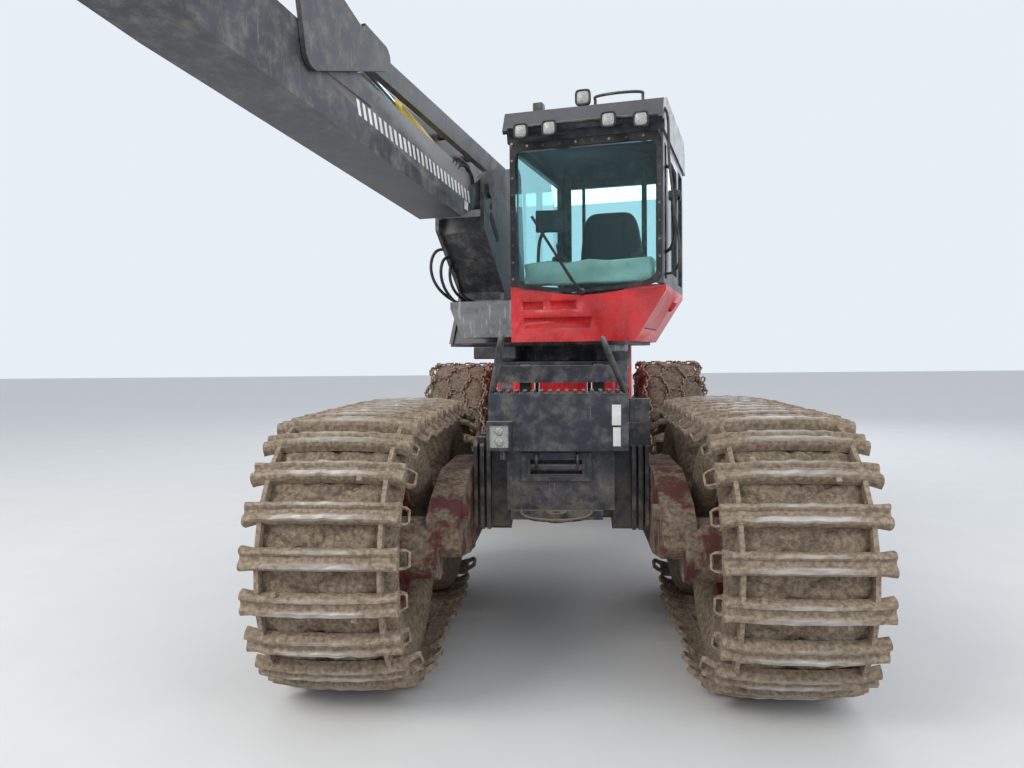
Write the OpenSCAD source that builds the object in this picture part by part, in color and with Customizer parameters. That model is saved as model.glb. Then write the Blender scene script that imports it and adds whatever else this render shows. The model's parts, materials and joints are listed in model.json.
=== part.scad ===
// Forestry harvester: six wheels, band tracks on the front bogies, turning cab with its crane beside it.
// Millimetres, +Z up, the front of the machine looks along -Y, +X is the operator's left hand.
// Modules are drawn about the slewing axis at ground level, and to_origin() moves the machine so that
// the origin lies on the ground under the middle of its box.

/* [Tracks and front wheels] */
// Width over both tracks
track_overall_w = 3000; // [2850:10:3200]
// Width of one track
track_w = 756; // [700:4:800]
// Radius of a front tyre
front_tyre_r = 672; // [640:2:700]
// Width of a front tyre
front_tyre_w = 690; // [600:5:700]
// Rim radius of a front wheel
front_rim_r = 337; // [300:1:360]
// Distance between the two wheels of a bogie
bogie_base = 1500; // [1450:10:1560]
// Number of shoes on one track
shoe_count = 34; // [26:1:40]
// Length of a shoe along the track
shoe_l = 104; // [70:1:130]
// Height of a shoe with its two ridges, above the tyre
shoe_h = 75; // [60:1:90]
// Height of the ridges alone
ridge_h = 26; // [10:1:34]
// Width of each ridge
ridge_w = 30; // [18:1:38]

/* [Bogies] */
// Distance from the bogie pivot forward to the slewing axis
bogie_y = 1600; // [1550:5:1700]
// Height of the bogie pivot above the wheel axles
bogie_rise = 110; // [60:5:150]
// Width of a bogie case
case_w = 176; // [160:2:190]
// Free space between a bogie case and its tyres
case_gap = 61; // [50:1:80]
// Radius of the bogie journal
journal_r = 140; // [110:2:160]

/* [Rear wheels] */
// Distance from the slewing axis back to the rear axle
rear_axle_y = 2240; // [2180:10:2350]
// Radius of a rear tyre
rear_tyre_r = 817; // [780:1:830]
// Width of a rear tyre
rear_tyre_w = 604; // [560:4:620]
// Rim radius of a rear wheel
rear_rim_r = 432; // [400:2:450]
// Height of the chain over the tread
chain_h = 42; // [30:1:50]
// Width over both rear wheels
rear_overall_w = 2935; // [2880:5:3000]
// Number of cross rows in a chain
chain_rows = 18; // [12:1:22]

/* [Frames] */
// Width of the front frame
front_frame_w = 640; // [560:10:660]
// Top of the front frame
front_frame_top = 1480; // [1440:5:1490]
// Articulation pivot behind the slewing axis
steer_y = 350; // [330:5:380]
// Pivot pin diameter of the articulation
steer_pin_d = 90; // [70:2:110]
// Rear end of the machine behind the slewing axis
rear_end_y = 4100; // [4000:10:4300]
// Width of the rear frame
rear_frame_w = 660; // [600:10:680]
// Half width of the engine hood
hood_half_w = 690; // [640:5:700]
// Top of the engine hood
hood_top = 2260; // [2150:10:2290]
// Sheet thickness of the hood
hood_t = 25; // [12:1:40]

/* [Step box] */
// Left edge of the step box seen from the front
step_x0 = -420; // [-435:5:-380]
// Right edge of the step box seen from the front
step_x1 = 400; // [360:5:435]
// Front face of the step box before the slewing axis
step_front = 2000; // [1960:5:2060]
// Top of the step box
step_top = 1570; // [1540:5:1600]

/* [Cab] */
// Slewing angle at rest, toward the operator's right hand
slew_rest = 13.3; // [0:0.1:30]
// Right side of the cab from the slewing axis
cab_right = -210; // [-230:5:-200]
// Left side of the cab from the slewing axis
cab_left = 920; // [880:5:930]
// Front face of the cab before the slewing axis
cab_front = 750; // [720:5:790]
// Rear face of the cab behind the slewing axis
cab_rear = 780; // [700:5:790]
// Underside of the cab
cab_bottom = 1890; // [1885:1:1920]
// Height where the glass starts
sill_z = 2300; // [2260:5:2340]
// Height where the roof starts
eave_z = 3365; // [3300:5:3400]
// Top of the roof
roof_top = 3630; // [3580:5:3680]
// Thickness of the cab walls and the door
wall_t = 52; // [40:1:60]
// Glass thickness
glass_t = 8; // [5:1:12]

/* [Crane] */
// Middle of the crane from the slewing axis, toward the operator's right hand
crane_off = 690; // [680:5:720]
// Width of the main boom
boom_w = 340; // [320:2:346]
// Boom pivot before the slewing axis
boom_pin_f = 410; // [390:5:430]
// Boom pivot height
boom_pin_z = 3105; // [3080:5:3130]
// Boom angle above the horizontal at rest
boom_tilt = 5.8; // [0:0.1:12]
// Boom length between its two pivots
boom_l = 4400; // [4300:10:4600]
// Depth of the boom box
boom_d = 280; // [250:5:300]
// Distance of the bar pivot behind the boom pivot, along the boom
bar_back = 724; // [690:2:760]
// Height of the bar pivot above the boom pivot, square to the boom
bar_up = 306; // [290:2:320]
// Rocker pin along the boom
rocker_u = 1855; // [1800:5:1900]
// Rocker pin height over the pivot line
rocker_v = 224; // [210:2:240]
// Lift cylinder barrel diameter
lift_d = 130; // [110:2:136]
// Jib angle at rest, below the horizontal
jib_drop = 30; // [20:1:36]
// Length of the jib from its pivot to the end of its box
jib_l = 2850; // [2700:10:3000]
// Depth of the jib box
jib_d = 230; // [200:5:240]
// Width of the jib box
jib_w = 200; // [180:2:220]
// Jib cylinder barrel diameter
jib_cyl_d = 104; // [90:2:110]

/* [Harvester head] */
// Length of the head frame
head_l = 1160; // [1100:10:1250]
// Width of the head frame
head_w = 420; // [380:10:440]
// Feed roller diameter
roller_d = 330; // [300:5:340]
// Feed roller width
roller_w = 300; // [260:5:320]

/* [Hidden] */
$fn = 48;

// Running clearances: round parts on pins, and sliding or swinging faces
fit = 0.3;
gap = 6;

function turn(a, p) = [p[0] * cos(a) - p[1] * sin(a), p[0] * sin(a) + p[1] * cos(a)];
function mid(a, b) = (a + b) / 2;

// Track loop
track_x = (track_overall_w - track_w) / 2;
track_r = front_tyre_r + shoe_h;
axle_z = track_r;
band_t = 24;
band_r = front_tyre_r + fit;
path_r = band_r + band_t / 2;
path_len = 2 * bogie_base + 2 * PI * path_r;

// Faces of a bogie case, from the middle of the machine
case_outer = track_x - front_tyre_w / 2 - case_gap;
case_inner = case_outer - case_w;

// Rear wheels
rear_r = rear_tyre_r + chain_h;
rear_x = (rear_overall_w - rear_tyre_w - 60) / 2;

// Crane points in the boom's own plane, along and square to the boom
tip_v = -180;
rocker_base = [rocker_u + bar_back, rocker_v - bar_up];
stay_arm = [85, 350];
boom_pin = [boom_pin_f, boom_pin_z];
bar_pin = boom_pin + turn(boom_tilt, [-bar_back, bar_up]);
rocker_pin = boom_pin + turn(boom_tilt, [rocker_u, rocker_v]);
rocker_root = boom_pin + turn(boom_tilt, rocker_base);
jib_pin = boom_pin + turn(boom_tilt, [boom_l, tip_v]);
stay_rear = rocker_root + stay_arm;
stay_front = jib_pin + stay_arm;
jib_lug = [1020, 275];
jib_eye = jib_pin + turn(-jib_drop, jib_lug);
hang_s = jib_l + 290;
hang_pin = jib_pin + turn(-jib_drop, [hang_s, -10]);

// Head heights measured down from the hanging pin
hanger_h = 250;
rotator_h = 300;
head_f = hang_pin[0];
rotor_z = hang_pin[1] - hanger_h - rotator_h;
sway_pin_z = hang_pin[1] - 150;
yoke_pin_z = rotor_z - 230;
roller_z = yoke_pin_z - 600;
roller_top = roller_z + roller_w / 2;
roller_l = roller_d / 2 + 85;
arm_pin_l = head_w / 2 + 50;
arm_pin_z = yoke_pin_z - 215;
knife_pin_z = yoke_pin_z - 300;

// The row's origin under the middle of the machine's box
head_reach = head_l / 2 + 70;
far_f = head_f + head_reach;
far_l = crane_off + 348;
near_l = crane_off - 260;
box_y0 = -(far_f * cos(slew_rest) - near_l * sin(slew_rest));
box_x0 = -((head_f + head_reach) * sin(slew_rest) + far_l * cos(slew_rest));
origin = [(box_x0 + track_overall_w / 2) / 2, (box_y0 + rear_end_y) / 2];

module to_origin() translate([-origin[0], -origin[1], 0]) children();
module slewed() to_origin() rotate([0, 0, -slew_rest]) children();

// Extrudes a (y, z) outline across the machine, an (x, z) outline backward and an (f, z) outline
// of the turning parts to the left, f being the distance before the slewing axis
module across(x0, w) translate([x0, 0, 0]) rotate([90, 0, 90]) linear_extrude(w) children();
module facing(y0, t) translate([0, y0 + t, 0]) rotate([90, 0, 0]) linear_extrude(t) children();
module side(l0, t) translate([l0 + t, 0, 0]) rotate([90, 0, -90]) linear_extrude(t) children();
module flat(z0, t) translate([0, 0, z0]) linear_extrude(t) children();
module bar_x(x0, w, y, z, d) translate([x0, y, z]) rotate([0, 90, 0]) cylinder(h = w, d = d);
module pin_l(l0, w, p, d) translate([l0, -p[0], p[1]]) rotate([0, 90, 0]) cylinder(h = w, d = d);
module box(x, y, z) translate([x[0], y[0], z[0]]) cube([x[1] - x[0], y[1] - y[0], z[1] - z[0]]);
// A box of the turning parts: l to the left, f forward, z up
module fbox(l, f, z) box(l, [-f[1], -f[0]], z);
// A link outline between two round ends
module link2d(a, b, ra, rb) {
    d = norm(b - a);
    w = asin((ra - rb) / d);
    rotate_to = atan2(b[1] - a[1], b[0] - a[0]);
    // Straight sides lie a little inside the tangents, so that they cross the round ends
    sa = ra - 1;
    sb = rb - 1;
    translate(a) circle(r = ra);
    translate(b) circle(r = rb);
    translate(a) rotate(rotate_to) polygon([
        [sa * sin(w), sa * cos(w)], [d + sb * sin(w), sb * cos(w)],
        [d + sb * sin(w), -sb * cos(w)], [sa * sin(w), -sa * cos(w)]]);
}
module ring2d(ro, ri) difference() {
    circle(r = ro);
    circle(r = ri);
}
// Solid of revolution about an axis across the machine, profile points are (radius, x)
module wheel_x(y, z) translate([0, y, z]) rotate([0, 90, 0]) rotate_extrude() children();
// Places a left-hand piece, or its mirror image on the other side
module handed(side_sign) mirror([side_sign < 0 ? 1 : 0, 0, 0]) children();

module front_frame() color("#20232b") to_origin() {
    half = front_frame_w / 2;
    difference() {
        across(-half, front_frame_w) polygon([
            [-step_front + 220, 860], [-step_front + 220, front_frame_top],
            [-160, front_frame_top], [140, 1390], [140, 660], [-300, 600], [-1500, 740]]);
        // Pockets for the steering cylinders
        for (s = [-1, 1]) box([s * steer_cyl_x - 115, s * steer_cyl_x + 115], [steer_cyl_y[0] - 80, 150],
            [steer_cyl_z - 68, steer_cyl_z + 68]);
        // Well for the levelling cylinders
        for (s = [-1, 1]) box([s * level_x - 60, s * level_x + 60], [-10, 150], [1070, 1500]);
    }
    // Pins of the levelling barrels
    for (s = [-1, 1]) bar_x(s * level_x - 70, 140, level_pins[0][0], level_pins[0][1], 50);
    // Articulation lugs with their pins
    for (z = [690, 1290]) difference() {
        flat(z, 60) {
            translate([0, steer_y]) circle(r = 130);
            translate([-130, 140]) square([260, steer_y - 140]);
        }
        translate([0, steer_y, z - 1]) cylinder(h = 62, d = steer_pin_d);
    }
    for (z = [600, 1200]) translate([0, steer_y, z]) cylinder(h = 240, d = steer_pin_d);
    // Brackets and pins of the steering barrels
    for (s = [-1, 1]) translate([s * steer_cyl_x, steer_cyl_y[0], 0]) {
        for (z = [steer_cyl_z - 78, steer_cyl_z + 38]) translate([-45, -50, z]) cube([90, 72, 40]);
        translate([0, 0, steer_cyl_z - 70]) cylinder(h = 140, d = 50);
    }
    // Drum brackets of the levelling base
    for (s = [-1, 1]) across(s * drum_x - drum_w / 2, drum_w) difference() {
        union() {
            translate(drum) circle(r = 80);
            translate([drum[0] - 120, front_frame_top - 5]) square([240, drum[1] - front_frame_top + 5]);
        }
        translate(drum) circle(r = drum_r + fit);
    }
}

tow_eye_r = 25;
module step_box() color("#171a24") to_origin() {
    y0 = -step_front;
    w = step_x1 - step_x0;
    difference() {
        union() {
            box([step_x0, step_x1], [y0, y0 + 220], [1235, step_top]);
            box([-front_frame_w / 2, front_frame_w / 2], [y0 + 90, y0 + 220], [870, 1235]);
        }
        // Hitch recess in the lower plate
        box([-180, 130], [y0 + 80, y0 + 170], [1080, 1170]);
    }
    // Tread grating along the top edge
    for (i = [0:14]) box([step_x0 + 50 + i * (w - 120) / 14, step_x0 + 70 + i * (w - 120) / 14],
        [y0 + 10, y0 + 200], [step_top, step_top + 18]);
    // Deck over the front frame
    box([step_x0, step_x1], [y0 + 220, -850], [front_frame_top, front_frame_top + 25]);
    // Tow hitch bar, and the lip below it with a tow eye in front
    bar_x(-180, 310, y0 + 120, 1120, 44);
    box([-300, 250], [y0 + 60, y0 + 220], [816, 870]);
    difference() {
        flat(816, 54) {
            translate([-25, y0 + 20]) circle(r = tow_eye_r + 34);
            translate([-85, y0 + 30]) square([120, 60]);
        }
        translate([-25, y0 + 20, 800]) cylinder(h = 90, r = tow_eye_r);
    }
    // Square headlamp and the shackle lug below it
    box([-428, -277], [y0 - 62, y0], [1241, 1412]);
    box([-352, -318], [y0 - 40, y0], [1190, 1241]);
}

module front_axle() color("#26201e") to_origin() for (s = [-1, 1]) handed(s) {
    end = case_inner - gap;
    across(front_frame_w / 2, end - front_frame_w / 2) polygon([
        [-bogie_y - 160, 740], [-bogie_y - 120, 1230], [-bogie_y + 150, 1230],
        [-bogie_y + 190, 740], [-bogie_y, 690]]);
    // Upright ribs round the beam, with bolt bosses on top
    for (x = [end - 104, end - 64, end - 24]) across(x, 24) polygon([
        [-bogie_y - 215, 730], [-bogie_y - 215, 1240], [-bogie_y - 185, 1270],
        [-bogie_y + 170, 1270], [-bogie_y + 200, 1240], [-bogie_y + 200, 730]]);
    for (y = [-bogie_y - 160, -bogie_y + 60]) translate([end - 52, y, 1220]) cylinder(h = 74, d = 76);
    bar_x(end, case_w - 26, -bogie_y, axle_z + bogie_rise, 2 * journal_r);
}

// Hairpin rails at both sides of the steps lean in over the step box: x of the foot and lean in degrees
rails = [[step_x0 + 15, 9.8], [step_x1 - 15, -22]];
rail_y = [-1960, -1820];
rail_len = 362;
rail_d = 30;
module handrails() color("#8b8d90") to_origin() difference() {
    r = (rail_y[1] - rail_y[0]) / 2;
    bend_z = rail_len - r - rail_d / 2;
    for (p = rails) translate([p[0], mid(rail_y[0], rail_y[1]), step_top]) rotate([0, p[1], 0]) {
        for (y = [-r, r]) translate([0, y, -20]) cylinder(h = bend_z + 20, d = rail_d);
        translate([0, 0, bend_z]) rotate([90, 0, 90]) rotate_extrude(angle = 180)
            translate([r, 0]) circle(d = rail_d);
    }
    // Feet end on the step box
    box([step_x0 - 100, step_x1 + 100], [rail_y[0] - 50, rail_y[1] + 50], [step_top - 60, step_top]);
}

module bogie_case(s) color("#5b3a2c") to_origin() handed(s) difference() {
    half = bogie_base / 2;
    union() {
        across(case_inner, case_w) translate([-bogie_y, 0]) polygon([
            [-half - 110, axle_z + 20], [-half - 110, axle_z + 170], [-half + 20, axle_z + 256],
            [-330, axle_z + 370], [330, axle_z + 370],
            [half - 20, axle_z + 256], [half + 110, axle_z + 170], [half + 110, axle_z + 20],
            [half + 30, axle_z - 45], [320, axle_z - 130], [-320, axle_z - 130], [-half - 30, axle_z - 45]]);
        // Hubs that carry the wheels
        for (y = [-half, half]) bar_x(case_outer - 60, 190, y - bogie_y, axle_z, 340);
        // Pin bosses at the inner top corners
        for (y = [-half + 50, half - 50]) bar_x(case_inner - 40, 60, y - bogie_y, axle_z + 190, 90);
    }
    bar_x(case_inner - 30, case_w + 24, -bogie_y, axle_z + bogie_rise, 2 * (journal_r + fit));
}

// Tyre outline: crown, shoulders, side walls and bead
module tyre2d(r, w, ri) polygon([
    [ri, -w * 0.36], [ri + 40, -w * 0.44], [mid(ri, r), -w * 0.5], [r - 60, -w * 0.47],
    [r - 12, -w * 0.36], [r, -w * 0.2], [r, w * 0.2], [r - 12, w * 0.36],
    [r - 60, w * 0.47], [mid(ri, r), w * 0.5], [ri + 40, w * 0.44], [ri, w * 0.36]]);

module bogie_tyres(s) color("#6f5d4b") to_origin() handed(s)
    for (y = [-bogie_y - bogie_base / 2, -bogie_y + bogie_base / 2])
        translate([track_x, 0, 0]) wheel_x(y, axle_z) tyre2d(front_tyre_r, front_tyre_w, front_rim_r);

module rim2d(r, w, dish, hub_r) polygon([
    [r, -w * 0.36], [r, w * 0.36], [r - 26, w * 0.36], [r - 60, w * 0.1], [r - 60, dish + 14],
    [hub_r + 60, dish + 30], [hub_r, dish + 30], [hub_r, dish - 4], [r - 80, dish - 10],
    [r - 60, dish - 40], [r - 26, -w * 0.36]]);

module bogie_rims(s) color("#7a2a22") to_origin() handed(s)
    for (y = [-bogie_y - bogie_base / 2, -bogie_y + bogie_base / 2]) translate([track_x, 0, 0]) {
        wheel_x(y, axle_z) rim2d(front_rim_r, front_tyre_w, -30, 100);
        bar_x(case_outer + 130 - track_x, track_x - case_outer - 160, y, axle_z, 340);
        bar_x(-30, 90, y, axle_z, 220);
    }

// Point and direction of the track loop at a length along it, starting behind the front wheel's top
function loop_at(s) =
    let (l = bogie_base, half_turn = PI * path_r, t = s % path_len)
    t < l ? [t - l / 2, path_r, 0] :
    t < l + half_turn ? let (a = (t - l) / path_r * 180 / PI)
        [l / 2 + path_r * sin(a), path_r * cos(a), -a] :
    t < 2 * l + half_turn ? [l / 2 - (t - l - half_turn), -path_r, -180] :
    let (a = (t - 2 * l - half_turn) / path_r * 180 / PI)
        [-l / 2 - path_r * sin(a), -path_r * cos(a), -180 - a];

module loop2d(r) {
    for (y = [-bogie_base / 2, bogie_base / 2]) translate([y, 0]) circle(r = r);
    translate([-bogie_base / 2, -r]) square([bogie_base, 2 * r]);
}

// A shoe's section: a flat bar with a ridge along both edges
module shoe2d() {
    b = -band_t / 2;
    h = shoe_h - band_t / 2 - fit;
    w = shoe_l / 2;
    polygon([[-w, b], [-w + 6, h], [-w + ridge_w, h], [-w + ridge_w + 6, h - ridge_h],
        [w - ridge_w - 6, h - ridge_h], [w - ridge_w, h], [w - 6, h], [w, b]]);
}

module track(s) color("#9a8f80") to_origin() handed(s) translate([0, -bogie_y, axle_z]) {
    x0 = track_x - track_w / 2;
    // Side links run as a band along each edge
    for (x = [x0 + 16, x0 + track_w - 16 - 56]) across(x, 56) difference() {
        loop2d(band_r + band_t);
        loop2d(band_r);
    }
    for (i = [0:shoe_count - 1]) {
        p = loop_at((i + 0.5) * path_len / shoe_count);
        translate([x0, p[0], p[1]]) rotate([p[2], 0, 0]) {
            rotate([90, 0, 90]) linear_extrude(track_w) shoe2d();
            // Side guide that runs down beside the tyre
            translate([0, -34, -100]) cube([20, 68, 100]);
            translate([track_w - 20, -34, -100]) cube([20, 68, 100]);
        }
    }
}

module rear_frame() color("#23262e") to_origin() {
    half = rear_frame_w / 2;
    difference() {
        union() {
            across(-half, rear_frame_w) polygon([
                [900, 720], [900, 1180], [rear_end_y - 60, 1180], [rear_end_y - 60, 900],
                [rear_axle_y + 600, 1060], [rear_axle_y - 600, 1060], [1450, 720]]);
            // Neck to the articulation
            box([-140, 140], [steer_y + 145, 900], [760, 1280]);
            for (z = [690 + 66, 1290 - 66]) flat(z, 60) {
                translate([0, steer_y]) circle(r = 125);
                translate([-125, steer_y]) square([250, 150]);
            }
            // Axle carriers
            for (y = [rear_axle_y - 330, rear_axle_y + 250]) facing(y, 80) difference() {
                union() {
                    translate([0, rear_r]) circle(r = 120);
                    translate([-200, rear_r]) square([400, 1062 - rear_r]);
                }
                translate([0, rear_r]) circle(d = 110);
            }
            translate([0, rear_axle_y - 330, rear_r]) rotate([-90, 0, 0]) cylinder(h = 660, d = 110);
            // Brackets for the steering rods, each with a short pin
            for (s = [-1, 1]) for (z = [steer_cyl_z - 68, steer_cyl_z + 38]) translate([s * steer_cyl_x, 0, z]) {
                translate([-42, steer_cyl_y[1]]) cube([84, 900 - steer_cyl_y[1], 30]);
                translate([0, steer_cyl_y[1], 0]) cylinder(h = 30, d = 84);
            }
            box([-half, half], [rear_end_y - 60, rear_end_y], [880, 1240]);
            // Hinge pin of the hood between its brackets
            bar_x(-280, 560, hood_pin[0], hood_pin[1], hood_pin_d);
            for (s = [-1, 1]) box([s * 190 - 20, s * 190 + 20], [hood_pin[0] - 18, hood_pin[0] + 18], [1230, hood_pin[1]]);
            // Side boxes ahead of the wheels
            for (s = [-1, 1]) handed(s) box([half, 620], [1000, 1340], [760, 1170]);
        }
        for (z = [740, 1210]) translate([0, steer_y, z]) cylinder(h = 90, d = steer_pin_d + 2 * fit);
    }
}

// Hood hinge at the rear, as (y, z)
hood_pin = [rear_end_y - 28, 1272];
hood_pin_d = 30;

module engine_block() color("#4a4d50") to_origin()
    box([-320, 320], [1750, 2950], [1180, 1900]);

module engine_hood() color("#a8231f") to_origin() {
    hood_shell();
    // Hinge ears on the rear wall
    for (s = [-1, 1]) across(s * 250 - 20, 40) difference() {
        union() {
            translate(hood_pin) circle(d = 52);
            translate([hood_pin[0] - 40, hood_pin[1] - 10]) square([40, 36]);
        }
        translate(hood_pin) circle(d = hood_pin_d + 2 * fit);
    }
}

module hood_shell() difference() {
    outer = [[1340, 1400], [1340, 2080], [1560, hood_top], [rear_end_y - 320, hood_top],
        [rear_end_y - 60, 2040], [rear_end_y - 60, 1262]];
    t = hood_t;
    difference() {
        across(-hood_half_w, 2 * hood_half_w) polygon(concat(outer, [[1700, 1262]]));
        across(-hood_half_w + t, 2 * (hood_half_w - t)) polygon([
            [1340 + t, 1200], [1340 + t, 2080 - t / 2], [1560 + t / 2, hood_top - t],
            [rear_end_y - 320 - t / 2, hood_top - t], [rear_end_y - 60 - t, 2040 - t / 2],
            [rear_end_y - 60 - t, 1200]]);
    }
    // Front corners cut back so that the hood passes the cab
    for (s = [-1, 1]) translate([s * 480, 1330, 1100]) rotate([0, 0, s * 45])
        translate([s > 0 ? 0 : -500, -400, 0]) cube([500, 400, 1400]);
    // Rear air slots
    for (i = [0:7]) box([-hood_half_w + 120, hood_half_w - 120],
        [rear_end_y - 60 - 2 * t, rear_end_y - 50], [1330 + i * 84, 1380 + i * 84]);
    // Side air slots
    for (s = [-1, 1]) for (i = [0:5]) box([s * hood_half_w - 40, s * hood_half_w + 40],
        [2960 + i * 120, 3020 + i * 120], [1500, 1900]);
}

spindle_d = 140;
spindle_l = 90;
module rear_axle() color("#23201f") to_origin() {
    difference() {
        union() {
            bar_x(-780, 1560, rear_axle_y, rear_r, 230);
            box([-190, 190], [rear_axle_y - 240, rear_axle_y + 240], [rear_r - 150, rear_r + 150]);
        }
        translate([0, rear_axle_y - 250, rear_r]) rotate([-90, 0, 0]) cylinder(h = 500, d = 110 + 2 * fit);
    }
    for (x = [-860, 780]) bar_x(x, 80, rear_axle_y, rear_r, 380);
    // Spindles that the wheels turn on
    for (s = [-1, 1]) handed(s) bar_x(800, 60 + spindle_l, rear_axle_y, rear_r, spindle_d);
}

module chain_row(a) rotate([a, 0, 0]) {
    w = rear_tyre_w + 60;
    translate([-w / 2, -18, rear_tyre_r - 20]) cube([w, 36, chain_h + 20]);
}

module rear_tyre(s) color("#6a4a38") to_origin() handed(s) translate([rear_x, 0, 0]) {
    wheel_x(rear_axle_y, rear_r) tyre2d(rear_tyre_r, rear_tyre_w, rear_rim_r);
    translate([0, rear_axle_y, rear_r]) for (i = [0:chain_rows - 1]) chain_row(i * 360 / chain_rows);
}

module rear_rim(s) color("#a03028") to_origin() handed(s) difference() {
    translate([rear_x, 0, 0]) {
        wheel_x(rear_axle_y, rear_r) rim2d(rear_rim_r, rear_tyre_w, -40, 120);
        bar_x(860 + gap - rear_x, rear_x - 860 - gap - 30, rear_axle_y, rear_r, 360);
        bar_x(-40, 110, rear_axle_y, rear_r, 250);
    }
    bar_x(850, 10 + spindle_l + gap, rear_axle_y, rear_r, spindle_d + 2 * fit);
}

// Barrel along +Z with its bore, eye at the start, and the rod that runs in it, eye at its start:
// enters is the distance from the barrel's eye to the rod's inner end, gone the length between the eyes
module barrel_z(from, to, d, bore) difference() {
    translate([0, 0, from]) cylinder(h = to - from, d = d);
    translate([0, 0, from + 30]) cylinder(h = to - from, d = bore + 2 * fit);
}
module rod_z(gone, enters, d) translate([0, 0, enters - gone]) cylinder(h = gone - enters - 20, d = d);
module eye_x(w, d, hole) rotate([0, 90, 0]) translate([0, 0, -w / 2]) difference() {
    cylinder(h = w, d = d);
    translate([0, 0, -1]) cylinder(h = w + 2, d = hole);
}
module eye_z(w, d, hole) translate([0, 0, -w / 2]) difference() {
    cylinder(h = w, d = d);
    translate([0, 0, -1]) cylinder(h = w + 2, d = hole);
}

// Steering cylinders stand between these pins at each side of the articulation
steer_cyl_x = 300;
steer_cyl_y = [0, 800];
steer_cyl_z = 990;
steer_rod_d = 56;

module steer_barrel(s) color("#caa21c") to_origin() handed(s)
    translate([steer_cyl_x, steer_cyl_y[0], steer_cyl_z]) {
        difference() {
            rotate([-90, 0, 0]) barrel_z(50, 490, 100, steer_rod_d);
            cylinder(h = 80, d = 56, center = true);
        }
        eye_z(68, 110, 50 + 2 * fit);
    }

module steer_rod(s) color("silver") to_origin() handed(s)
    translate([steer_cyl_x, steer_cyl_y[1], steer_cyl_z]) {
        difference() {
            rotate([-90, 0, 0]) rod_z(steer_cyl_y[1] - steer_cyl_y[0], 315, steer_rod_d);
            cylinder(h = 80, d = 60, center = true);
        }
        eye_z(64, 90, 60 - 2);
    }

// Drum that the levelling base turns on, as (y, z), its radius and its brackets
drum = [-620, 1645];
drum_r = 62;
drum_x = 275;
drum_w = 80;

spigot_r = 220;
module tilt_base() color("#1d1f26") to_origin() {
    bar_x(-drum_x - 60, 2 * drum_x + 120, drum[0], drum[1], 2 * drum_r);
    difference() {
        flat(1700, 42) {
            circle(r = 560);
            translate([-400, -640]) square([800, 400]);
        }
        for (s = [-1, 1]) bar_x(s * drum_x - drum_w / 2 - gap, drum_w + 2 * gap, drum[0], drum[1], 160 + 2 * gap);
    }
    // Slewing spigot
    translate([0, 0, 1740]) cylinder(h = 70, r = spigot_r);
    // Lugs for the levelling rods
    for (s = [-1, 1]) for (x = [level_x - 52, level_x + 36]) box([s * x + min(0, s * 16), s * x + max(0, s * 16)],
        [level_pins[1][0] - 45, level_pins[1][0] + 45], [level_pins[1][1] - 30, 1700]);
}

// Levelling cylinders from the front frame up to the base, as (y, z) of their pins
level_pins = [[60, 1150], [420, 1650]];
level_x = 230;
level_run = level_pins[1] - level_pins[0];
level_a = atan2(level_run[0], level_run[1]);

module tilt_barrels() color("#caa21c") to_origin() for (s = [-1, 1]) handed(s)
    translate([level_x, level_pins[0][0], level_pins[0][1]]) rotate([-level_a, 0, 0]) {
        difference() {
            barrel_z(30, 360, 90, 46);
            rotate([0, 90, 0]) cylinder(h = 100, d = 56, center = true);
        }
        eye_x(64, 96, 50 + 2 * fit);
    }

module tilt_rods() color("silver") to_origin() for (s = [-1, 1]) handed(s)
    translate([level_x, level_pins[1][0], level_pins[1][1]]) rotate([-level_a, 0, 0]) {
        difference() {
            rod_z(norm(level_run), 140, 46);
            rotate([0, 90, 0]) cylinder(h = 100, d = 42, center = true);
        }
        eye_x(60, 72, 40);
    }

module slew_platform() color("#1a1c22") slewed() {
    difference() {
        translate([0, 0, 1742 + gap]) cylinder(h = cab_bottom - 1742 - gap - 20, r = 560);
        translate([0, 0, 1740]) cylinder(h = 70 + gap, r = spigot_r + fit);
    }
    flat(cab_bottom - 26, 26) polygon([
        [cab_left - 60, -cab_front + 60], [cab_left - 60, cab_rear - 120], [-crane_off + 60, cab_rear - 120],
        [-crane_off - 300, 480], [-crane_off - 300, -500], [-crane_off + 300, -cab_front + 60]]);
}

// Plan outline of the cab: the chamfer cuts its front left corner
module cab_plan(inset, chamfer) polygon([
    [cab_right + inset, -cab_front + inset], [cab_left - chamfer - inset * 0.4, -cab_front + inset],
    [cab_left - inset, -cab_front + chamfer * 0.7 + inset * 0.4],
    [cab_left - inset, cab_rear - 80], [cab_left - 80, cab_rear - inset], [cab_right + inset, cab_rear - inset]]);

door_f = [-250, 470];
door_z = [1990, 3320];

module door_hole() fbox([cab_left - wall_t - 20, cab_left + 40],
    [door_f[0] - gap, door_f[1] + gap], [door_z[0] - gap, door_z[1] + gap]);

// The door turns about this upright axis, as (l, f), on one pin below and one above the sill
door_pin = [cab_left + 20, door_f[0] - 12];
door_pin_z = [2160, 3080];
door_pin_d = 14;

module door_bracket(z) translate([0, 0, z - 20]) {
    linear_extrude(20) link2d([cab_left + 4, -door_pin[1] + 34], [door_pin[0], -door_pin[1]], 18, 9);
    translate([door_pin[0], -door_pin[1]]) cylinder(h = 70, d = door_pin_d);
}
module door_knuckle(z) translate([0, 0, z + 1]) difference() {
    union() {
        translate([door_pin[0], -door_pin[1]]) cylinder(h = 48, d = 26);
        fbox([cab_left - 2, door_pin[0]], [door_pin[1], door_f[0] + 50], [0, 48]);
    }
    translate([door_pin[0], -door_pin[1], -1]) cylinder(h = 50, d = door_pin_d + 2 * fit);
    fbox([cab_left - 5, cab_left + 4], [door_pin[1] - 20, door_f[0]], [-1, 50]);
}

module cab_lower_body() color("#c5201f") slewed() {
    cab_tub();
    door_bracket(door_pin_z[0]);
}

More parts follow.
